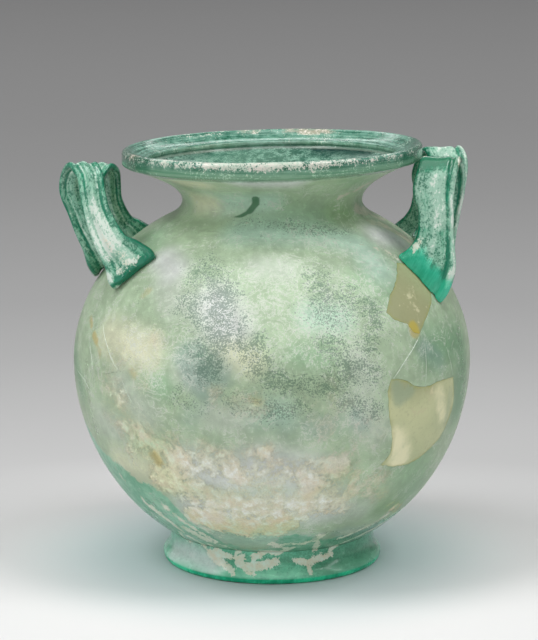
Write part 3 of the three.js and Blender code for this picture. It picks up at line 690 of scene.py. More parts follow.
# Weathering, as strokes of ([azimuth, height] points, radius, weight) on the outside of the glass, with a
# painted highlight for the far inside of the mouth and some painted light on the right shoulder
STROKES = {
    "soil": [
        ([(-131, 89), (-118, 81), (-103, 75.5), (-84, 73), (-70, 75)], 20, 0.72),
        ([(-123, 68), (-109, 57), (-88, 53), (-70, 60)], 22, 0.82),
        ([(-117, 45), (-98, 38), (-84, 42)], 13, 0.95),
        ([(-139.2, 108.7), (-132.4, 93.7), (-128.5, 80.1)], 20, 0.62),
        ([(-135.6, 137.4), (-126.4, 142.3), (-128.8, 123.0)], 18, 0.45),
        ([(-105.5, 119.4), (-100.0, 117.3), (-93.3, 114.9)], 10, 0.48),
        ([(-77.1, 119.7), (-69.4, 93.4), (-61.9, 97.7)], 20, 0.36),
        ([(-95.0, 77.3), (-92.9, 86.4), (-91.2, 91.2)], 5, 0.8),
        ([(-84.8, 77.3), (-73.0, 79.2), (-65.1, 69.7)], 12, 0.7),
        ([(-66, 60), (-58, 66), (-52, 56)], 14, 0.5), ([(-42.7, 45.7), (-18.0, 32.9)], 7, 0.55),
        ([(-16.6, 196.9), (-15.9, 193.0), (-11.6, 187.9)], 6, 0.6),
        ([(60, 70), (95, 62), (130, 72)], 22, 0.85), ([(80, 48), (110, 44)], 14, 0.9),
        ([(20, 120), (35, 100)], 18, 0.5), ([(62, 238), (85, 238)], 3, 0.9),
        ([(95, 237), (104, 237)], 3, 0.9), ([(-152, 237), (-158, 237)], 3, 0.8),
        ([(150, 150), (165, 130)], 18, 0.45),
    ],
    "flake": [
        ([(-24, 206), (-16, 203), (0, 202), (14, 199)], 4.5, 0.95),
        ([(-8, 200), (6, 195), (0, 190)], 4.5, 0.9),
        ([(-24, 199), (-18, 197), (-14, 192), (-8, 187)], 5, 0.9),
        ([(-46, 215), (-36, 218), (-26, 222)], 2.5, 0.6), ([(-120, 201), (-100, 203), (-80, 202)], 2, 0.45),
        ([(-60, 196), (-44, 190), (-34, 182)], 3, 0.5), ([(-143, 50), (-142, 44), (-138, 38)], 2.2, 0.85),
        ([(-138, 40), (-135, 35), (-133, 28)], 2.2, 0.9),
        ([(-131, 47), (-126, 38), (-121, 31), (-117, 25)], 2.0, 0.85), ([(-150, 64), (-147, 57)], 1.8, 0.8),
        ([(-129, 33), (-126, 29), (-122, 25)], 4.2, 0.85), ([(-140, 44), (-137, 41)], 3.4, 0.75),
        ([(-118, 36), (-112, 30)], 3.4, 0.7), ([(-90, 26), (-84, 22)], 3.6, 0.7),
        ([(-137, 27), (-144, 19), (-137, 17)], 1.8, 0.8), ([(-133, 24), (-129, 16), (-121, 15)], 2.6, 0.95),
        ([(-124, 20), (-118, 14.5), (-112, 13.7), (-106, 14)], 2.4, 0.9),
        ([(-121, 25), (-114, 21), (-108, 18)], 1.8, 0.8),
        ([(-100, 15), (-92, 19), (-86, 18), (-80, 22)], 2.4, 0.9),
        ([(-84, 26), (-76, 25), (-68, 31)], 2.6, 0.8), ([(-70, 31), (-68.3, 24), (-66, 18)], 2.6, 0.85),
        ([(-62, 16.5), (-55, 17.5), (-47, 22)], 2.6, 0.9),
        ([(-47, 22), (-40.1, 25), (-32.1, 29), (-20.3, 33)], 2.6, 0.9),
        ([(-58, 26), (-48, 31), (-38, 38)], 2.2, 0.75),
        ([(-127, 15), (-121, 11), (-115, 9), (-110, 5)], 3.2, 0.85),
        ([(-109.5, 11.5), (-102, 9.0), (-95.3, 10.3), (-88, 12.5)], 3.2, 0.85),
        ([(-104, 7), (-99, 5)], 2.0, 0.8), ([(-77.5, 13.0), (-70, 11), (-63.1, 12.7), (-56, 14)], 2.6, 0.9),
        ([(-70, 10), (-69.5, 5.5)], 2.2, 0.85),
        ([(50, 26), (70, 18), (90, 24), (120, 17), (150, 26)], 2.6, 0.85),
        ([(0, 18), (20, 24), (40, 20)], 2.4, 0.8),
    ],
    "film": [
        ([(-131.9, 141.0), (-126.2, 139.8), (-125.4, 126.6)], 16, 1.0),
        ([(-114.6, 174.3), (-106.5, 153.2), (-113.5, 144.7)], 26, 0.85),
        ([(-100.1, 168.2), (-87.7, 158.8), (-76.2, 153.4), (-80.9, 173.0)], 34, 0.95),
        ([(-65.7, 171.9), (-58.0, 166.0), (-67.2, 152.4)], 22, 0.85),
        ([(-76.7, 195.5), (-60.4, 190.2), (-45.1, 183.7)], 16, 0.7),
        ([(-131.1, 189.0), (-105.4, 195.4), (-86.0, 197.8)], 14, 0.6),
        # The white flaky streak on the right shoulder, made stronger as painted light where the rim shades it
        ([(-22, 206), (-12, 202), (0, 197), (-6, 189)], 8, 1.1),
        ([(-98.9, 94.9), (-82.3, 95.0), (-71.1, 99.5)], 26, 0.55),
        ([(-125.3, 112.9), (-122.9, 96.5)], 26, 0.6),
        ([(-59.3, 130.3), (-62.6, 114.8), (-68.6, 115.9)], 22, 0.6),
        ([(-97.1, 58.2), (-80.1, 44.5)], 30, 0.9), ([(-67.3, 56.1), (-62.0, 67.7)], 22, 0.7),
        ([(-57.3, 102.3), (-48.4, 76.1)], 22, 0.45), ([(-36.3, 28.6), (-57.8, 27.1)], 12, 0.6),
        ([(30, 165), (75, 170), (120, 160)], 40, 0.85), ([(45, 110), (100, 105), (150, 120)], 40, 0.7),
    ],
    "dark": [
        ([(-114.9, 181.4), (-105.9, 167.9), (-106.2, 148.2), (-108.5, 135.0)], 14, 1.0),
        ([(-116.5, 166.8), (-111.6, 157.6)], 12, 0.8),
        ([(-94.6, 132.5), (-87.9, 125.7), (-77.1, 125.1), (-68.5, 129.3)], 9, 0.9),
        ([(-92.7, 131.0), (-85.2, 127.2)], 7, 0.9),
        ([(-73.6, 148.2), (-69.8, 134.8), (-62.5, 128.3)], 12, 0.8),
        ([(-65.0, 167.0), (-59.2, 157.3), (-63.2, 144.2)], 13, 0.75),
        ([(-57.9, 163.5), (-57.8, 153.5)], 6, 1.0),
        ([(-109.0, 201.8), (-74.2, 200.6), (-52.9, 197.7)], 8, 0.6),
        ([(-74.2, 177.4), (-72.8, 158.0)], 14, 0.8), ([(-100.7, 153.6), (-93.3, 138.8)], 12, 0.8),
        ([(-101.3, 117.2), (-90.6, 112.2), (-82.6, 113.1)], 8, 0.7),
        ([(-70.1, 116.1), (-61.8, 107.9)], 9, 0.8), ([(-58.0, 25.5), (-40.3, 26.2)], 7, 0.8),
        ([(-116.2, 117.7), (-109.8, 110.7)], 8, 0.6), ([(60, 160), (90, 140), (120, 150)], 16, 0.85),
    ],
    "blue": [
        ([(-113.0, 137.0), (-108.3, 124.5), (-105.6, 131.7)], 13, 1.0),
        ([(-67.0, 107.3), (-64.6, 101.2)], 6, 0.8), ([(-42.0, 136.7), (-35.5, 129.2)], 10, 0.7),
        ([(-85.2, 100.9), (-74.1, 102.8), (-65.3, 101.3)], 12, 0.6),
        ([(-60.7, 31.8), (-41.5, 28.3)], 9, 0.8), ([(-106.9, 124.6), (-112.9, 104.5)], 10, 0.6),
        ([(70, 120), (100, 128)], 14, 0.7),
    ],
    "clear": [
        ([(-167.7, 55.8), (-165.1, 38.4), (-153.2, 24.0), (-142.2, 14.1)], 9, 1.0),
        ([(-140.3, 44.6), (-137.2, 24.8)], 9, 0.85),
        ([(-155.8, 125.2), (-154.6, 108.6), (-153.6, 85.6)], 5, 0.7),
        ([(-19.8, 140.5), (-19.9, 117.9), (-13.2, 85.9), (-12.2, 55.5)], 8, 0.65),
        ([(-141.4, 181.7), (-135.4, 163.6), (-147.6, 155.4)], 12, 0.4),
        ([(10, 45), (40, 35), (80, 30), (130, 35), (165, 45)], 9, 0.8),
    ],
    "stain": [
        ([(-153.1, 140.1), (-150.4, 137.2)], 3.5, 1.0), ([(-159.5, 147.4), (-156.1, 144.1)], 3, 0.8),
        ([(-147.9, 133.6), (-147.0, 130.6)], 3, 0.8), ([(-132.4, 126.4), (-131.1, 124.6)], 4.5, 0.7),
        ([(-110.1, 50.0), (-110.1, 45.9)], 5, 0.6), ([(-126.5, 80.7), (-125.3, 76.9)], 5, 1.0),
        ([(-79.2, 59.8), (-75.7, 65.2)], 6, 0.6), ([(-44.4, 149.1), (-44.4, 147.0)], 5, 1.2),
        ([(-94.6, 118.7), (-93.8, 117.6)], 6, 0.7), ([(-133.9, 169.0), (-135.3, 165.7)], 4, 0.7),
    ],
    "crisp": [([(-50, 196), (-30, 199), (-12, 190)], 12, 1.4)],
    # A painted highlight on the far inside of the mouth
    "painted_mouth_highlight": [([(104, 222), (86, 224)], 14, 1.0)],
    "crescent": [
        ([(-99.4, 217), (-99.8, 213.5)], 2.2, 1.0), ([(-99.8, 213.5), (-103.6, 209.4)], 1.8, 1.0),
        ([(-103.6, 209.4), (-109, 206.4), (-115.5, 204.6)], 1.1, 0.9),
    ],
}
# The same on the folded rim, as [azimuth, distance inside its edge]; the lip strokes along the far edge are
# painted highlight lines
RIM_STROKES = {
    "lip": [([(60, 1), (84, 1), (108, 1), (132, 1)], 6, 0.36)],
    "emerald": [([(-176, 1), (-160, 1), (-146, 1)], 9, 1.0), ([(-30, 1), (-12, 1), (8, 1)], 9, 0.8)],
}
# Painted shade in the mouth, in millimetres from the urn's axis
PAINTED_MOUTH_SHADE = [
    ([(56, 46, 229), (43, 58, 230), (30, 66, 229)], 8, 1.0), ([(-51, 47, 230), (-40, 56, 229)], 5, 0.5),
]
# Marks in the resin fills and on the foot ring: painted shade on the fills and the foot, and painted
# highlights on the foot
RESIN_MARKS = {
    "streak": [([(-53, 90), (-49, 80), (-50, 73)], 9, 1.0), ([(-36, 112), (-33, 96)], 6, 0.7)],
    # Painted shade over the upper fill and the top of the lower fill
    "shade": [([(-46, 165), (-40, 150), (-44, 142)], 30, 1.0), ([(-54, 121), (-40, 117)], 8, 0.5)],
    "ghost": [([(-54, 121), (-53, 112), (-49, 117)], 5, 1.0), ([(-29, 110), (-30, 90)], 4, 0.6)],
}
# Painted highlights on the foot ring: a soft one on its left and a thin line above its bottom edge
FOOT_PAINTED_HIGHLIGHT = [
    ([(-156, 8), (-140, 11), (-124, 8)], 8, 1.1), ([(-96, 3.9), (-58, 3.9)], 0.8, 0.8),
]
# Painted shade on the foot ring: its right side and its waist under the globe
FOOT_PAINTED_SHADE = [
    ([(-60, 9), (-40, 9), (-10, 9)], 14, 0.8), ([(-150, 13), (-120, 13), (-90, 13), (-60, 13)], 3, 0.6),
    ([(150, 12), (100, 12), (50, 12), (0, 12)], 4, 0.5),
]
# Upper border of the clear glass near the base, as (azimuth, height)
CLEAR_BORDER = [
    (-180, 70), (-172, 84), (-166, 84), (-158, 76), (-142, 65), (-132, 59), (-127, 54.5), (-123, 38),
    (-115, 28), (-108, 22.4), (-100, 19.3), (-92, 21), (-87, 30), (-81, 34), (-70, 29), (-60, 28),
    (-45, 31), (-20, 37), (0, 40), (40, 34), (90, 40), (130, 40), (150, 44), (166, 62), (180, 70),
]
# Tints of the weathered glass, and where each is brushed on. They also hold painted light and shade: the
# white on the right shoulder is partly painted light where the rim shades it, and the deep green towards the
# right edge is painted shade on the side away from the light.
TINTS = {
    "sage": (192, 215, 181), "green": (166, 204, 164), "deep": (138, 181, 142), "moss": (158, 194, 144),
    "mint": (208, 240, 218), "pale": (214, 226, 208), "white": (244, 247, 244), "cream": (242, 245, 212),
}
TINT_STROKES = {
    "green": [
        ([(-100, 208), (-80, 206), (-60, 204)], 10, 0.9), ([(-158, 192), (-150, 186)], 14, 0.8),
        ([(-56, 176), (-50, 168)], 12, 0.7), ([(-82, 141), (-76, 140)], 9, 0.8),
        ([(-127, 123), (-121, 121)], 9, 0.9), ([(-42, 72), (-32, 55)], 18, 0.8),
        ([(-54, 228), (-40, 224)], 9, 0.9),
    ],
    "deep": [([(-38, 136), (-22, 134), (-20, 98)], 15, 0.9), ([(-170, 122), (-162, 108)], 11, 0.8)],
    "moss": [([(-48, 208), (-38, 206)], 8, 0.9), ([(-46, 46), (-38, 42)], 10, 0.8)],
    "mint": [
        ([(-128, 214), (-112, 215), (-92, 216)], 9, 0.9),
        ([(-106, 199), (-84, 199), (-66, 198), (-50, 192), (-48, 180)], 12, 1.0),
        ([(-78, 160), (-70, 158)], 10, 0.8), ([(-94, 110), (-88, 110)], 10, 0.8),
        ([(-134, 40), (-110, 28), (-90, 30), (-74, 27)], 10, 0.9),
    ],
    "pale": [
        ([(-128, 172), (-122, 164)], 10, 0.8), ([(-94, 184), (-86, 183)], 10, 0.8),
        ([(-66, 138), (-64, 124)], 10, 0.8), ([(-115, 130), (-111, 128)], 9, 0.7),
        ([(-136, 119), (-128, 104)], 12, 0.8), ([(-106, 107), (-100, 107)], 10, 0.8),
        ([(-66, 113), (-60, 97)], 11, 0.8), ([(-148, 94), (-140, 92)], 12, 0.8),
        ([(-66, 49), (-58, 47)], 10, 0.8),
    ],
    "white": [
        ([(-102, 229), (-82, 228)], 10, 1.0), ([(-32, 194), (-22, 190)], 11, 1.0),
        ([(-136, 184), (-128, 180)], 10, 0.9), ([(-108, 165), (-103, 154)], 14, 1.0),
        ([(-114, 76), (-104, 73), (-92, 80), (-80, 74)], 15, 1.0),
        ([(-116, 50), (-100, 51), (-84, 54), (-74, 54)], 16, 1.0), ([(-30, 25), (-22, 24)], 10, 1.0),
        ([(-136, 22), (-130, 20)], 10, 1.0),
    ],
    "cream": [
        ([(-134, 226), (-124, 226)], 9, 1.0), ([(-142, 213), (-130, 213)], 8, 0.9),
        ([(-144, 142), (-128, 139)], 13, 1.0), ([(-102, 140), (-96, 138)], 10, 0.9),
        ([(-142, 70), (-124, 70)], 13, 1.0), ([(-54, 27), (-48, 25)], 9, 0.9),
    ],
}


def on_wall(azimuth, height):
    """A place on the outside of the urn at a height, in metres."""
    if height > NECK_Z:
        share = min((height - NECK_Z) / FLARE_RISE, 1)
        radius = NECK_RADIUS + (RIM_RADIUS - RIM_ROLL - NECK_RADIUS) * share**2
    elif height < FOOT_WAIST_Z + 2:
        radius = FOOT_WAIST_RADIUS + (FOOT_RADIUS - FOOT_WAIST_RADIUS) * (1 - height / FOOT_WAIST_Z)
    else:
        rise = (height - GLOBE_CENTRE_Z) / globe_half(height)
        radius = max(GLOBE_RADIUS * math.sqrt(max(0, 1 - rise**2)), NECK_RADIUS)
    angle = math.radians(azimuth)
    return placed(radius * math.cos(angle), radius * math.sin(angle), height)


def on_rim(azimuth, inset):
    """A place on the folded rim at a distance inside its edge, in metres."""
    angle = math.radians(azimuth)
    radius = RIM_RADIUS - inset
    return placed(radius * math.cos(angle), radius * math.sin(angle),
                  RIM_Z - 2 + RIM_RADIUS * math.cos(angle) * MOUTH_TILT)


def on_globe(azimuth, lat):
    """A place on the globe at an angle above its widest place, in metres."""
    return place(globe_row(lat)[0], azimuth)


def srgb(red, green, blue):
    """A colour given as it looks on a screen, 0 to 255, for a shader socket."""
    made = []
    for part in (red, green, blue):
        share = part / 255
        made.append(share / 12.92 if share <= 0.04045 else ((share + 0.055) / 1.055) ** 2.4)
    return (*made, 1)


def vectors(mesh, name):
    """The vector that each point of a mesh has under a name."""
    flat = np.empty(len(mesh.vertices) * 3, dtype=np.float32)
    mesh.attributes[name].data.foreach_get("vector", flat)
    return flat.reshape(-1, 3).astype(float)


def keep(mesh, name, values, kind="FLOAT"):
    """Keep a value for each point of a mesh under a name that the materials read."""
    part = {"FLOAT": "value", "FLOAT_VECTOR": "vector", "FLOAT_COLOR": "color"}[kind]
    mesh.attributes.new(name, kind, "POINT").data.foreach_set(part, values.astype(np.float32).ravel())


def stroke_field(places, strokes, find=on_wall):
    """The strongest stroke at each place: full on its line, fading to nothing at its radius."""
    field = np.zeros(len(places))
    for line, radius, weight in strokes:
        line = [np.array(find(*spot)) for spot in line]
        nearest = np.full(len(places), np.inf)
        for start, end in zip(line, line[1:]):
            span = end - start
            share = np.clip(((places - start) @ span) / (span @ span), 0, 1)
            gap = np.linalg.norm(places - start - share[:, None] * span, axis=1)
            nearest = np.minimum(nearest, gap)
        fade = np.clip(1 - (nearest / (radius * STROKE_FADE * MM)) ** 2, 0, 1) ** 2
        field = np.maximum(field, fade * weight)
    return field


def keep_tone(mesh, places):
    """A tint for each place, brushed over the one before; the unseen back repeats the front."""
    seen = places * np.array([1, 0, 1]) + np.abs(places) * np.array([0, -1, 0])
    color = np.tile(srgb(*TINTS["sage"]), (len(places), 1))
    for name, strokes in TINT_STROKES.items():
        share = stroke_field(seen, strokes)[:, None]
        color = color * (1 - share) + np.array(srgb(*TINTS[name])) * share
    keep(mesh, "tone", color, "FLOAT_COLOR")


def weather_vessel(piece):
    """Layers of film, soil, patina and clear glass on a blown piece, with painted highlight and shade in the
    mouth and a lip band that is partly painted highlight, from the strokes and the height.
    """
    mesh = piece.data
    places = vectors(mesh, "position")
    x, y, z = (places / MM - (AXIS_X, 0, 0)).T
    radius, angle = np.hypot(x, y), np.arctan2(y, x)
    level = z - x * MOUTH_TILT
    layers = {name: stroke_field(places, strokes) for name, strokes in STROKES.items()}
    border = np.interp(np.degrees(angle), *zip(*CLEAR_BORDER))
    teal = np.clip(0.5 + (border - z) / CLEAR_BORDER_WIDTH, 0, 1)
    veiled = 1 - smooth(teal, 0.3, 0.7)
    neck = smooth(z, *NECK_FILM)
    film = np.maximum(layers["film"], 0.42 * smooth(z, *FILM_STARTS)) * (1 - neck) + 0.35 * neck
    low_down = np.maximum(1 - smooth(z, *CRISP_ENDS), 0.4 * (1 - smooth(z, *HALF_CRISP_ENDS)))
    fold_start = RIM_RADIUS - FOLD_WIDTH
    fold = smooth(radius, fold_start - 2, fold_start + 1) * smooth(level, *FOLD_LEVELS)
    front = np.exp(-((np.degrees(angle) - FRONT_AZIMUTH) / FRONT_SPREAD) ** 2)
    face = smooth(radius, RIM_RADIUS - 3.2, RIM_RADIUS - 2) * smooth(level, RIM_Z - 4.2, RIM_Z - 2.6)
    # The lip band is partly pale film and partly painted highlight: the rim's upper face, stronger at the
    # front, and lines along the far edge
    lip = np.maximum((0.32 + 0.34 * front) * face, stroke_field(places, RIM_STROKES["lip"], on_rim))
    under = smooth(radius, RIM_RADIUS - 3.4, RIM_RADIUS - 2.6) * (1 - smooth(level, RIM_Z - 5.6, RIM_Z - 4.2))
    normals = np.empty(len(places) * 3)
    mesh.vertices.foreach_get("normal", normals)
    normals = normals.reshape(-1, 3)
    facing_axis = np.where(z > BASE_TOP, normals[:, 0] * x + normals[:, 1] * y < 0, normals[:, 2] > 0)
    inner = facing_axis * (fold < 0.3)
    layers |= {
        "film": film * (0.3 + 0.7 * veiled), "soil": layers["soil"] * veiled, "teal": teal, "fold": fold,
        "clear": np.maximum(layers["clear"], 1.05 * (1 - smooth(z, *CLEAR_ENDS))),
        "neck": smooth(z, *NECK_TURNING), "inner": inner, "mouth": inner * smooth(z, *MOUTH_STARTS),
        "crisp": np.maximum(low_down, layers["crisp"].clip(0, 1)), "side": fold * under, "lip": fold * lip,
        "emerald": fold * stroke_field(places, RIM_STROKES["emerald"], on_rim),
        "painted_mouth_shade": stroke_field(places, PAINTED_MOUTH_SHADE, placed),
    }
    for name, values in layers.items():
        keep(mesh, name, values)
    keep(mesh, "lay", np.stack([angle * radius, radius, z], axis=1) * MM, "FLOAT_VECTOR")
    keep_tone(mesh, places)
    return layers


class Shader:
    """Short names for the nodes of one material, and the colour that is painted up in it."""

    def __init__(self, name):
        self.material = bpy.data.materials.new(name)
        self.material.use_nodes = True
        self.tree = self.material.node_tree
        self.shader = self.tree.nodes["Principled BSDF"]
        self.place = self.node("TexCoord").outputs["Object"]
        self.grains = {}
        self.color = None

    def link(self, value, socket):
        """Join an output, or a grain or layer by its name, to a socket, or set the socket to a value."""
        if isinstance(value, str):
            value = self.grains.get(value) or self.layer(value)
        if isinstance(value, bpy.types.NodeSocket):
            self.tree.links.new(value, socket)
        elif socket.type == "RGBA" and len(value) == 3:
            socket.default_value = srgb(*value)
        else:
            socket.default_value = value

    def node(self, kind, inputs=None, **settings):
        """A new node with its settings, and its inputs by number or name."""
        made = self.tree.nodes.new("ShaderNode" + kind)
        for key, value in settings.items():
            setattr(made, key, value)
        for key, value in (inputs or {}).items():
            self.link(value, made.inputs[key])
        return made

    def layer(self, name):
        return self.node("Attribute", attribute_name=name).outputs["Fac"]

    def math(self, operation, first, second=0.0, clamp=False):
        return self.node("Math", {0: first, 1: second}, operation=operation, use_clamp=clamp).outputs[0]

    def times(self, first, second):
        return self.math("MULTIPLY", first, second)

    def greatest(self, first, *others):
        for value in others:
            first = self.math("MAXIMUM", first, value)
        return first

    def grain(self, name, scale, detail, rough, along=None, offset=0.0, distort=0.0):
        """Noise centred on nothing, from about -0.5 to 0.5, in space or stretched along a piece's lay."""
        source = self.place
        if along:
            lay = self.node("Attribute", attribute_name="lay").outputs["Vector"]
            source = self.node("Mapping", {"Vector": lay, "Scale": along}).outputs[0]
        if offset:
            shift = (offset, offset * 0.7, offset * 1.3)
            source = self.node("VectorMath", {0: source, 1: shift}, operation="ADD").outputs[0]
        made = self.node("TexNoise", {"Vector": source, "Scale": scale, "Detail": detail, "Roughness": rough,
                                      "Distortion": distort})
        self.grains[name] = self.math("SUBTRACT", made.outputs[0], 0.5)

    def rough(self, base, **amounts):
        """A value roughened by amounts of the named grains."""
        for name, amount in amounts.items():
            base = self.math("ADD", base, self.times(name, amount))
        return base

    def step(self, value, start, end):
        """A soft step from 0 to 1 between two values."""
        return self.node("MapRange", {"Value": value, "From Min": start, "From Max": end},
                         interpolation_type="SMOOTHSTEP").outputs[0]

    def worn(self, base, start, end, **amounts):
        """A soft step over a roughened value."""
        return self.step(self.rough(base, **amounts), start, end)

    def line(self, value, start, end):
        """A thin line where a value crosses nothing."""
        return self.step(self.math("ABSOLUTE", value), start, end)

    def blend(self, share, first, second):
        return self.node("Mix", {0: share, 2: first, 3: second}).outputs[0]

    def mix(self, share, first, second):
        return self.node("Mix", {0: share, 6: first, 7: second}, data_type="RGBA").outputs[2]

    def scaled(self, color, factor):
        return self.node("VectorMath", {0: color, "Scale": factor}, operation="SCALE").outputs[0]

    def paint(self, share, tone, amount=1.0):
        """Lay a tone over the colour so far."""
        self.color = self.mix(self.times(share, amount), self.color, tone)

    def bump(self, height, strength):
        made = self.node("Bump", {"Height": height, "Distance": BUMP_DEPTH, "Strength": strength})
        self.link(made.outputs[0], self.shader.inputs["Normal"])

    def absorb(self, color, density):
        made = self.node("VolumeAbsorption", {"Color": color, "Density": density})
        self.link(made.outputs[0], self.tree.nodes["Material Output"].inputs["Volume"])

    def coat(self, level, weight):
        self.shader.inputs["Specular IOR Level"].default_value = level
        self.shader.inputs["Coat Weight"].default_value = weight
        self.shader.inputs["Coat Roughness"].default_value = COAT_ROUGHNESS

    def finish(self, roughness, transmission):
        self.link(self.color, self.shader.inputs["Base Color"])
        self.link(roughness, self.shader.inputs["Roughness"])
        self.link(transmission, self.shader.inputs["Transmission Weight"])
        self.shader.inputs["IOR"].default_value = GLASS_IOR
        return self.material


def brighter(tone, factor):
    """A screen colour made brighter, for a shader socket."""
    return (*[min(part * factor, 0.9) for part in srgb(*tone)[:3]], 1)


def wall_look(s, film, soil):
    """The weathered wall: regional tints under folds, veins, specks, soil, flakes and stains."""
    tone = s.node("Attribute", attribute_name="tone").outputs["Color"]
    mottle = s.worn("cloud", -0.24, 0.24, middle=0.8, swirl=0.6)
    s.color = s.mix(mottle, s.scaled(tone, 0.88), s.scaled(tone, 1.09))
    s.paint(s.worn("drape", 0.1, 0.2, middle=0.6, fine=0.4), s.scaled(tone, 1.22), 0.5)
    s.paint(s.worn("drape", -0.2, -0.32, swirl=0.8, fine=0.5), s.scaled(tone, 0.74), 0.5)
    teal = s.worn("teal", 0.46, 0.54, patch=0.7, middle=0.6, fine=0.2)
    s.paint(teal, s.mix(mottle, (108, 196, 160), (182, 238, 208)), 0.85)
    strand = s.rough("strand", fine=0.35, patch=0.5)
    s.paint(s.times(s.step(strand, 0.1, 0.2), s.blend("neck", 0.25, 0.6)), s.scaled(tone, 1.28))
    s.paint(s.times(s.step(strand, -0.14, -0.26), s.blend("neck", 0.2, 0.55)), s.scaled(tone, 0.7))
    scratch = s.times(s.line("arc", 0.006, 0.001), s.step("patch", 0.02, 0.12))
    s.paint(scratch, (226, 236, 222), 0.6)
    s.paint(s.worn("blue", 0.2, 0.9, patch=0.8), (146, 176, 174), 0.5)
    cover = s.step(s.math("ADD", "patch", s.times(film, 0.3)), 0.0, 0.14)
    s.paint(s.times(s.line(s.rough("swirl", fine=0.1), 0.03, 0.008), cover), (230, 236, 224), 0.65)
    vein = s.line(s.math("ADD", "swirl", 0.12), 0.016, 0.003)
    s.paint(s.times(vein, s.worn("dark", 0.3, 0.6, patch=1)), s.scaled(tone, 0.4), 0.6)
    pale = s.worn(s.times(film, 0.2), 0.2, 0.36, fine=1, fleck=1.2, middle=0.8)
    s.paint(s.times(pale, film), (232, 236, 226), 0.6)
    dark = s.worn(s.times("dark", 0.75), 0.46, 0.76, grit=1.2, fleck=2.4, swirl=1.1, patch=0.8)
    s.paint(dark, (62, 106, 88), 0.62)
    earth = s.mix(s.worn("patch", -0.15, 0.15), (212, 212, 168), (226, 210, 176))
    earth = s.mix(s.worn("middle", -0.1, 0.25), earth, s.scaled(tone, 1.06))
    earth = s.mix(s.worn("cloud", 0.05, 0.25, patch=0.5), earth, (228, 220, 204))
    crumbs = s.worn("fine", -0.2, 0.2, fleck=0.8)
    earth = s.mix(crumbs, s.scaled(earth, 0.92), s.scaled(earth, 1.07))
    s.paint(s.times(soil, s.blend("crisp", 0.6, 0.92)), earth)
    flake = s.worn("flake", 0.46, 0.56, patch=1, middle=1.7, fine=1, fleck=0.5)
    chip = s.mix(s.worn("middle", -0.2, 0.2, patch=1), (196, 208, 178), (236, 230, 214))
    s.paint(flake, s.mix(s.worn("fine", 0.08, 0.2), chip, (150, 186, 160)), 0.85)
    s.paint(s.worn("stain", 0.35, 1.0, middle=0.9), (212, 184, 96), 0.6)
    return flake


def rim_look(s, soil):
    """The folded rim: clear green under specks, soil and a pale lip band that is partly film and partly
    painted highlight, and the neck's crescent.
    """
    speck = s.worn(s.times("ring", 0.7), 0.16, 0.34, fine=1.1, fleck=1.2, patch=1.1)
    green = s.mix(s.worn("ring", -0.25, 0.25, middle=0.8), (30, 118, 92), (168, 226, 204))
    green = s.mix(s.times(speck, 0.75), green, (218, 228, 212))
    side = s.mix(s.worn("ring", -0.25, 0.25, cloud=0.5), (112, 178, 140), (172, 216, 184))
    side = s.mix(s.times(speck, 0.2), side, (220, 226, 208))
    green = s.mix("side", green, side)
    emerald = s.mix(s.times(speck, 0.6), (22, 112, 82), (190, 222, 204))
    green = s.mix(s.times("emerald", 0.75), green, emerald)
    s.paint("fold", green)
    s.paint(s.times(soil, "fold"), (216, 206, 182), 0.9)
    # The lip: partly pale film, partly painted highlight
    lip = s.worn("lip", 0.4, 0.58, middle=0.9, fine=1, fleck=1)
    s.paint(lip, s.mix(s.worn("fine", -0.2, 0.25, patch=1), (206, 220, 202), (242, 232, 222)), 0.85)
    s.paint(s.step("crescent", 0.15, 0.6), (66, 124, 84), 0.85)
    return s.greatest(lip, speck)


def inside_look(s):
    """The inside: deep green with crumbs in the mouth, a painted highlight on its far side and painted shade
    in it, and pale further down.
    """
    deep = s.mix(s.worn("cloud", -0.2, 0.2, patch=0.8, middle=0.6), (40, 124, 102), (118, 190, 162))
    # Painted highlight on the far inside of the mouth
    deep = s.mix(s.times("painted_mouth_highlight", 0.4), deep, (150, 198, 172))
    crumb = s.worn(s.times("grit", 1.2), -0.02, 0.1, fleck=1, middle=1.2, patch=0.6)
    deep = s.mix(s.times(crumb, 0.7), s.scaled(deep, 0.6), (170, 216, 194))
    # Painted shade in the mouth
    deep = s.mix(s.times("painted_mouth_shade", 0.9), deep, (14, 62, 58))
    s.paint("inner", s.mix("mouth", (222, 236, 226), deep))


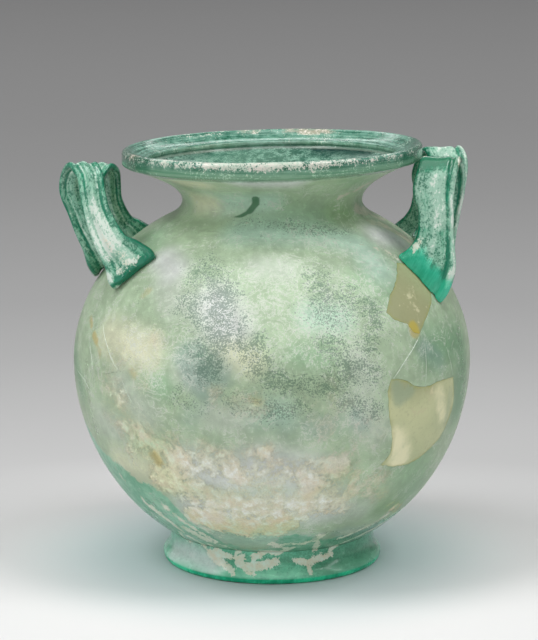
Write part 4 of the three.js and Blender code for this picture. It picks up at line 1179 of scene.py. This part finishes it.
def blown_glass_material(name, level, coat):
    """Thin weathered glass: clear green under a milky film, dark specks, soil and stains, with painted
    highlight and shade in the mouth and painted highlight on the rim's lip.
    """
    s = Shader(name)
    s.grain("fine", 700, 3, 0.7)
    s.grain("fleck", 1300, 2, 0.6, offset=0.31)
    s.grain("middle", 190, 5, 0.7)
    s.grain("patch", 70, 5, 0.62, offset=0.17, distort=0.5)
    s.grain("cloud", 28, 4, 0.55, offset=0.53)
    s.grain("swirl", 95, 5, 0.62, offset=0.87, distort=1.6)
    s.grain("arc", 42, 2, 0.5, offset=0.41, distort=0.7)
    s.grain("grit", 1, 4, 0.75, along=(420, 420, 900))
    s.grain("drape", 1, 5, 0.7, along=(260, 260, 60), distort=1.2)
    s.grain("strand", 1, 5, 0.7, along=(36, 300, 520))
    s.grain("ring", 1, 4, 0.7, along=(16, 700, 700))
    film = s.worn("film", 0.2, 1.0, middle=0.9, cloud=0.8, fine=0.3)
    clear = s.worn("clear", 0.42, 0.8, patch=0.9, middle=0.5)
    lumps = s.rough("soil", patch=1.2, middle=1.3, fine=0.5)
    soil = s.blend("crisp", s.step(lumps, 0.22, 0.86), s.step(lumps, 0.5, 0.6))
    flake = wall_look(s, film, soil)
    specks = rim_look(s, soil)
    inside_look(s)
    cover = s.math("ADD", 0.62, s.math("ADD", s.times(film, 0.22), s.times("neck", 0.16)))
    cover = s.greatest(s.times(cover, s.blend(clear, 1.0, 0.85)), s.times(s.greatest(soil, flake), 0.92))
    cover = s.blend("fold", cover, s.blend(specks, 0.55, 0.9))
    crumbs = s.times(s.worn("fine", 0.0, 0.4, middle=0.8), s.blend("mouth", 0.15, 0.3))
    cover = s.blend("inner", cover, s.math("ADD", crumbs, s.blend("mouth", 0.05, 0.6)))
    rough = s.blend(clear, s.blend(soil, s.blend(film, 0.3, 0.46), 0.65), 0.18)
    s.bump(s.rough(s.times(soil, 1.2), fine=0.5, middle=0.8), 0.6)
    s.absorb((140, 212, 180), 35)
    s.coat(level, coat)
    return s.finish(s.blend("fold", rough, 0.12), s.math("SUBTRACT", 1.0, cover, clamp=True))


def thick_glass_material(name, tones, contrast, body):
    """Thick green glass under a silvery film that is worn in patches along the lay of the strap or ring, with
    painted shade and painted highlights where its layers ask for them.

    The tones are those of the white film, the thin veil, the gaps in it and the clear glass.
    """
    white, veil, gap_tone, clear_tone = tones
    s = Shader(name)
    s.grain("fine", 800, 3, 0.7)
    s.grain("fleck", 1500, 2, 0.6, offset=0.23)
    s.grain("middle", 190, 5, 0.7)
    s.grain("patch", 60, 4, 0.6, offset=0.71)
    s.grain("streak", 1, 6, 0.68, along=(75, 520, 1), distort=0.6)
    s.grain("wear", 1, 6, 0.72, along=(260, 480, 1), offset=0.37, distort=1.0)
    film = s.worn("film", 0.1, 0.6, streak=0.6 * contrast, wear=0.5 * contrast, patch=0.5)
    gap = s.worn("film", 0.4, 0.28, wear=contrast, middle=1.3 * contrast, fine=1.7 * contrast,
                 fleck=0.9 * contrast)
    white_film = s.worn("film", 0.68, 0.8, streak=contrast, wear=contrast, middle=0.8 * contrast,
                        fine=0.9 * contrast)
    soil = s.worn("soil", 0.42, 0.56, patch=0.8, middle=1.5, fine=1.1)
    s.color = s.mix(s.worn("patch", -0.3, 0.3, middle=1), clear_tone, brighter(clear_tone, 1.3))
    s.paint(film, s.mix(s.worn("middle", -0.3, 0.3, streak=1), veil, brighter(veil, 1.25)), 0.9)
    s.paint(gap, gap_tone, 0.75)
    s.paint(white_film, white, 0.8)
    # Painted shade on the foot ring and at the top of the right handle
    s.paint("shade", (62, 130, 96), 0.8)
    vivid = s.times(s.worn("vivid", 0.15, 0.7, streak=1, middle=0.7), s.step("vivid", 0.02, 0.2))
    s.paint(vivid, s.mix(s.worn("patch", -0.25, 0.25, streak=1), (40, 200, 156), (84, 236, 196)), 0.8)
    # Painted highlight on the foot ring
    s.paint("painted_highlight", s.mix(s.step("middle", -0.3, 0.3), (206, 234, 224), (232, 246, 240)), 0.9)
    s.paint("rim", s.mix(s.worn("patch", -0.2, 0.2, middle=1), (10, 160, 118), (50, 218, 164)))
    s.paint(soil, s.mix(s.step("middle", -0.15, 0.2), (226, 216, 190), white), 0.85)
    s.paint(s.times(s.worn("patch", 0.3, 0.45, middle=0.8), soil), (196, 150, 110), 0.5)
    thin = s.times(s.math("SUBTRACT", film, s.times(gap, 0.5), clamp=True), 0.85)
    cover = s.greatest(thin, s.times(white_film, 0.9), soil, "rim")
    cover = s.math("ADD", s.times(cover, 0.96 - body), body)
    s.bump(s.rough(s.times("streak", 0.5), wear=0.4, fine=0.2), 0.4)
    s.absorb((110, 214, 170), 45)
    s.coat(0.3, 0.3)
    return s.finish(s.blend(film, 0.08, 0.3), s.math("SUBTRACT", 1.0, cover, clamp=True))


def resin_material():
    """Khaki restoration resin: cloudy, a little see-through, with an olive line where it meets the glass, and
    painted shade over part of it.
    """
    s = Shader("fill_resin")
    s.grain("fine", 520, 3, 0.6)
    s.grain("middle", 110, 5, 0.6, distort=0.6)
    s.grain("cloud", 34, 3, 0.5, offset=0.4)
    ghost = s.worn("ghost", 0.1, 1.0, middle=0.6)
    s.color = s.mix(s.step("cloud", -0.22, 0.22), (188, 196, 150), (206, 210, 164))
    s.paint(s.step("fine", 0.0, 0.35), (176, 180, 136))
    # Painted shade on the fills
    s.paint(s.worn("shade", 0.0, 0.9, middle=0.5), (150, 152, 112), 0.75)
    s.paint(s.worn("cloud", 0.2, 0.42, middle=1.4, fine=0.6), (204, 202, 162))
    s.paint(ghost, (160, 180, 150), 0.7)
    s.paint(s.worn("streak", 0.1, 1.1, middle=1.2, fine=0.5), (246, 242, 202), 0.85)
    s.paint(s.times("edge", s.blend(s.step("middle", -0.2, 0.2), 0.2, 0.8)), (156, 162, 88))
    s.paint(s.worn("stain", 0.3, 0.9, middle=0.7), (196, 178, 70), 0.8)
    s.bump(s.rough("middle", fine=0.3), 0.5)
    s.absorb((190, 190, 130), 60)
    return s.finish(s.blend(s.step("middle", -0.2, 0.2), 0.3, 0.45), s.blend(ghost, 0.08, 0.14))


def crack_material():
    """The faces of cracks and the glue in them, painted bright as a painted glint."""
    s = Shader("crack_glint")
    s.grain("fine", 500, 3, 0.6)
    s.color = s.mix(s.step("fine", -0.1, 0.2), (196, 214, 196), (236, 240, 228))
    return s.finish(s.blend(s.step("fine", -0.2, 0.2), 0.25, 0.5), 0.0)


def dress(piece, node, material):
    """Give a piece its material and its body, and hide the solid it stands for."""
    piece.data.materials.clear()
    piece.data.materials.append(material)
    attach(piece, "root")
    if node:
        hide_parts(node)


# The vessel, its sherds and its fills
glass = blown_glass_material("weathered_glass", 0.14, 0.0)
rim_glass = blown_glass_material("rim_glass", 0.3, 0.12)
resin = resin_material()
vessel_windows, wall_faces = [], {}
for window in WINDOWS:
    cut = cut_window(window)
    vessel_windows.append(cut.pop("vessel"))
    wall_faces.update(cut)
vessel = build_vessel("blown_vessel", vessel_windows)
fold = weather_vessel(vessel)["fold"]
dress(vessel, "vessel_body", glass)
vessel.data.materials.append(rim_glass)
for polygon in vessel.data.polygons:
    polygon.material_index = int(min(fold[i] for i in polygon.vertices) > RIM_GLASS_FROM)
for name, faces in wall_faces.items():
    piece = build_wall(name + "_piece", faces)
    weather_vessel(piece)
    if name.startswith("fill"):
        places = vectors(piece.data, "position")
        outline = finer(WALL_PIECES[name])
        keep(piece.data, "edge", stroke_field(places, [([*outline, outline[0]], 0.8, 1.0)], on_globe))
        for mark, strokes in RESIN_MARKS.items():
            keep(piece.data, mark, stroke_field(places, strokes))
        dress(piece, name, resin)
    else:
        dress(piece, name, glass)

# The foot ring
foot = build_foot("foot_ring_glass")
places = vectors(foot.data, "position")
angle = np.arctan2(places[:, 1], places[:, 0] - AXIS_X * MM)
height = places[:, 2] / MM
lay = np.stack([angle * FOOT_RADIUS * MM, places[:, 2], np.zeros(len(places))], axis=1)
keep(foot.data, "lay", lay, "FLOAT_VECTOR")
keep(foot.data, "painted_highlight", stroke_field(places, FOOT_PAINTED_HIGHLIGHT))
keep(foot.data, "shade", stroke_field(places, FOOT_PAINTED_SHADE))
keep(foot.data, "film", 0.48 - 0.12 * smooth(height, 5, 9))
keep(foot.data, "rim", 1 - smooth(height, 3, 4))
keep(foot.data, "soil", stroke_field(places, STROKES["flake"]))
foot_tones = ((224, 238, 226), (146, 216, 184), (96, 180, 146), (84, 188, 148))
dress(foot, "foot_ring", thick_glass_material("foot_glass", foot_tones, 0.3, 0.75))


# The handles
def left_ribs(x):
    """Depth of the grooves between the ribs of the left strap."""
    return 0.9 * (math.cos(x * math.pi * 2) - 1)


def right_ribs(x):
    """A broad shallow face with a deep groove beside the outer strip."""
    groove = math.exp(-((x - 0.62) / 0.1) ** 2) * 2.2
    return -groove - 0.8 * math.cos((x + 0.2) * math.pi / 2.4) ** 2


left = build_handle("handle_left_glass", -1, LEFT_STATIONS, left_ribs, spread=50, depth=33.5, height=57.2,
                    width=15, far=(0.88, 5, -6.5, 0.84))
right = build_handle("handle_right_glass", 1, RIGHT_STATIONS, right_ribs, spread=46, depth=21.5, height=57.4,
                     width=22, far=(1, -2, 4.5, 1))
# Marks on the handles, in millimetres from the urn's axis
HANDLE_MARKS = {
    "handle_left": {
        "film": [
            ([(-100.6, -48, 232), (-101.4, -48, 216), (-97.4, -48, 200), (-89.6, -48, 190)], 11, 0.95),
            ([(-89.6, -48, 190), (-80, -52, 184)], 8, 0.62),
            ([(-96.9, -52, 178.8), (-90.6, -52, 173), (-86, -52, 168)], 3.5, 1.2),
            ([(-112, -20, 232), (-108, 20, 232), (-104, 45, 225)], 9, 0.75),
        ],
        "soil": [
            ([(-86, -52, 187), (-80, -54, 181), (-74, -56, 184)], 4.5, 0.36),
            ([(-84, -54, 176), (-90, -52, 184)], 3.5, 0.4), ([(-88, 45, 232), (-84, 45, 206)], 6, 0.6),
            ([(-95, -49, 196), (-88, -50, 188)], 3, 0.5),
        ],
        "bare": [
            ([(-64, -56, 185), (-72, -56, 179), (-84, -56, 169.8)], 4, 0.9),
            ([(-98, -20, 236), (-92, -20, 230)], 6, 0.6),
            ([(-109, -50, 220), (-106, -52, 200), (-102, -52, 188)], 3, 0.6),
        ],
    },
    "handle_right": {
        "film": [
            ([(92, -36, 226), (93, -41, 214), (92, -43, 202)], 9, 0.66),
            ([(89, -47, 196), (88, -47, 188)], 6, 0.5), ([(84, -50, 176), (80, -49, 182)], 2, 0.7),
            ([(96, -51, 172), (98, -50, 166)], 2.5, 0.8), ([(99, 0, 236), (99, 40, 236)], 10, 0.7),
            ([(99.4, -50, 188), (97.6, -50, 176), (95.2, -50, 166)], 2.5, 0.9),
        ],
        "soil": [
            ([(82, -24, 237), (92, -20, 239), (100, -20, 239)], 3, 0.7),
            ([(82, -48, 194), (78, -48, 187)], 4, 0.5),
            ([(104, -28, 235), (105, -40, 222), (104.5, -44, 206)], 1.8, 0.7),
        ],
        # Painted shade over the top of the right handle
        "shade": [([(84, -30, 233), (94, -28, 234.5), (102, -28, 234)], 6, 0.85)],
        "vivid": [([(76, -50, 182), (84, -51, 171), (94, -51, 162), (99, -49, 160)], 10, 1.0)],
        "bare": [
            ([(80, -50, 174), (91, -50, 164), (99, -48, 161)], 9, 0.8),
            ([(103, -46, 225), (103.5, -46, 200)], 1.6, 0.8), ([(84, -30, 233), (102, -28, 234)], 6, 0.3),
            # The last, with a negative weight, adds film on the far foot, as painted light where it lies in
            # shade
            ([(78, 40, 190), (74, 46, 185)], 12, -0.15),
        ],
    },
}
# Ribs of painted highlight, grooves of painted shade and bare edges across each strap, made by more or less
# film, as (place from -1 to 1, spread, weight)
RIB_HIGHLIGHTS_AND_GROOVE_SHADE = {
    "handle_left": [
        (-0.4, 0.05, 0.4), (0.4, 0.05, 0.35), (-0.55, 0.1, -0.45), (0.54, 0.07, -0.45), (-0.95, 0.15, -0.3),
        (0.95, 0.12, -0.3),
    ],
    "handle_right": [(0.88, 0.09, 0.5), (0.62, 0.08, -0.6), (-0.1, 0.12, 0.14), (-0.97, 0.08, -0.35)],
}
strap_tones = ((230, 238, 228), (160, 196, 176), (26, 118, 90), (24, 150, 112))
strap_glass = thick_glass_material("strap_glass", strap_tones, 1.0, 0.8)
for piece, node in ((left, "handle_left"), (right, "handle_right")):
    places = vectors(piece.data, "position")
    across = vectors(piece.data, "lay")[:, 2]
    run = places[:, 2] / MM
    marks = {name: stroke_field(places, strokes, placed) for name, strokes in HANDLE_MARKS[node].items()}
    # More film along the ribs as painted highlight, less in the grooves as painted shade
    rib_highlights_and_groove_shade = sum(weight * np.exp(-((across - at) / spread) ** 2) * (0.65 + 0.35 * np.sin(run / 5.5 + 9 * at))
                 for at, spread, weight in RIB_HIGHLIGHTS_AND_GROOVE_SHADE[node])
    marks["film"] = np.maximum(marks["film"], STRAP_FILM) + rib_highlights_and_groove_shade - marks.pop("bare")
    for name, values in marks.items():
        keep(piece.data, name, values)
    dress(piece, node, strap_glass)

# Cracks as lines of [azimuth, height], and their width
CRACKS = [
    ([(-149.4, 147.4), (-145.9, 140.3), (-143.6, 136.1), (-140.8, 130.6), (-137.7, 125.9)], 0.42),
    ([(-135.5, 120.5), (-133.4, 113.6), (-132.1, 110.1)], 0.32),
    ([(-154.9, 135.3), (-152.1, 128.3), (-150.7, 122.3)], 0.36),
    ([(-165.3, 116.1), (-158, 113.6), (-153.6, 109.6)], 0.3),
    ([(-43, 144.1), (-49.9, 133.5), (-54.8, 124.7)], 0.45),
    ([(-41.3, 139.2), (-42.0, 128), (-42.7, 116.6)], 0.3),
    ([(-30.8, 134.8), (-29.5, 126.3), (-28.3, 118.4)], 0.28),
]


def globe_at(height):
    """The row of the globe at a height."""
    rise = (height - GLOBE_CENTRE_Z) / globe_half(height)
    return globe_row(math.degrees(math.asin(min(max(rise, -1), 1))))


def build_cracks(name):
    """Cracks as thin lines, half sunk in the wall."""
    builder = bmesh.new()
    for line, width in CRACKS:
        points = [Vector((*spot, 0)) for spot in line]
        rings = []
        for share in even_steps(0, 1, 10 * len(points)):
            azimuth, height, _ = curve_point(points, share)
            ahead = curve_point(points, min(share + 0.01, 1)) - curve_point(points, max(share - 0.01, 0))
            scale = math.degrees(1 / globe_at(height)[0][0])
            along = Vector((ahead.x / scale, ahead.y)).normalized()
            wide = width * math.sin(math.pi * min(max(share, 0.03), 0.97)) ** 0.5
            corners = []
            for side, depth in ((-1, 0.1), (0, -0.12), (1, 0.1), (0, 0.3)):
                point, normal = globe_at(height + side * along.x * wide)
                turned = azimuth - side * along.y * wide * scale
                corners.append(builder.verts.new(place(point, turned, normal, depth)))
            rings.append(corners)
        capped_skin(builder, rings)
    return finish_mesh(name, builder)


dress(build_cracks("crack_lines"), None, crack_material())

# The floor: radii of its rings in metres, and its grey at distances from the front of the urn, a painted pool
# of light that darkens with distance
FLOOR_SIDES = 64
FLOOR_RADII = (0.15, 0.3, 0.6, 1.2, 2.4, 4.8, 9, 16)
FLOOR_REACH = 6
FLOOR_LIGHT_POOL_GREYS = ((0, 222), (0.08, 222), (0.15, 219), (0.27, 204), (0.4, 181), (0.555, 171), (0.743, 159),
               (0.974, 149), (1.265, 144), (1.643, 140), (2.555, 133), (4.3, 126), (FLOOR_REACH, 120))


def build_floor(name):
    builder = bmesh.new()
    turns = [2 * math.pi * i / FLOOR_SIDES for i in range(FLOOR_SIDES)]
    rings = [[builder.verts.new((radius * math.cos(turn), radius * math.sin(turn), 0)) for turn in turns]
             for radius in FLOOR_RADII]
    builder.faces.new(rings[0])
    for lower, upper in zip(rings, rings[1:]):
        band(builder, lower, upper)
    return finish_mesh(name, builder)


def floor_light_pool_material():
    """Pale paper under a painted pool of light that darkens with distance, and a painted cool shadow close to
    the urn.
    """
    s = Shader("floor_painted_light")
    shifted = s.node("VectorMath", {0: s.place, 1: (0, 0.15, 0)}).outputs[0]
    reach = s.node("VectorMath", {0: shifted}, operation="LENGTH").outputs["Value"]
    # A painted pool of light, darker with distance from in front of the urn
    ramp = s.node("ValToRGB", {0: s.math("DIVIDE", reach, FLOOR_REACH)})
    stops = ramp.color_ramp.elements
    for distance, grey in FLOOR_LIGHT_POOL_GREYS[1:-1]:
        stops.new(distance / FLOOR_REACH).color = srgb(grey, grey, grey)
    stops[0].color = srgb(*[FLOOR_LIGHT_POOL_GREYS[0][1]] * 3)
    stops[-1].color = srgb(*[FLOOR_LIGHT_POOL_GREYS[-1][1]] * 3)
    near = s.node("VectorMath", {0: s.place}, operation="LENGTH").outputs["Value"]
    # A painted shadow, cool in tint, on the floor close to the urn
    s.color = s.mix(s.step(near, 0.17, 0.07), ramp.outputs[0], (192, 204, 206))
    s.shader.inputs["Specular IOR Level"].default_value = 0
    return s.finish(0.9, 0.0)


floor = build_floor("floor")
floor.data.materials.append(floor_light_pool_material())

# Light
scene = bpy.context.scene
world = bpy.data.worlds.new("soft_room")
scene.world = world
world.use_nodes = True
sky = world.node_tree.nodes["Background"]
sky.inputs["Color"].default_value = (1, 1, 1, 1)
sky.inputs["Strength"].default_value = 0.24


def lamp(name, kind, energy, place_at, aim, **options):
    """A lamp at a place in metres, turned to what it lights."""
    light = bpy.data.lights.new(name, kind)
    light.energy = energy
    for key, value in options.items():
        setattr(light, key, value)
    made = bpy.data.objects.new(name, light)
    scene.collection.objects.link(made)
    made.location = place_at
    made.rotation_euler = (Vector(aim) - Vector(place_at)).to_track_quat("-Z", "Y").to_euler()


def sky_light(name, energy, place_at, spread):
    lamp(name, "SUN", energy, place_at, (0, 0, 0), angle=math.radians(spread))


def soft_box(name, energy, place_at, aim_height, width, height):
    lamp(name, "AREA", energy, place_at, (0, 0, aim_height), shape="RECTANGLE", size=width, size_y=height)


sky_light("top_sky", 0.6, (-0.05, -0.1, 1.0), 40)
sky_light("left_sky", 1.15, (-1.0, -0.3, 1.7), 24)
sky_light("right_sky", 1.0, (1.0, -0.3, 1.7), 24)
sky_light("front_sky", 0.6, (-0.2, -1.0, 0.45), 60)
soft_box("left_box", 1.6, (-0.9, -0.55, 0.6), 0.12, 0.12, 0.8)
soft_box("right_box", 1.2, (1.0, -0.3, 0.65), 0.14, 0.1, 0.8)
soft_box("front_box", 0.8, (-0.1, -0.8, 1.1), 0.2, 1.1, 0.08)
soft_box("back_box", 2.6, (0, 1.1, 1.0), 0.22, 1.5, 0.16)

# Camera, where the photo was taken from
camera_data = bpy.data.cameras.new("photo_camera")
camera_data.lens = CAMERA_LENS
camera_data.sensor_width = SENSOR_WIDTH
camera = bpy.data.objects.new("photo_camera", camera_data)
scene.collection.objects.link(camera)
camera.location = CAMERA_PLACE
camera.rotation_euler = (math.radians(90 - CAMERA_DIP), 0, 0)
scene.camera = camera
scene.view_settings.view_transform = "Standard"
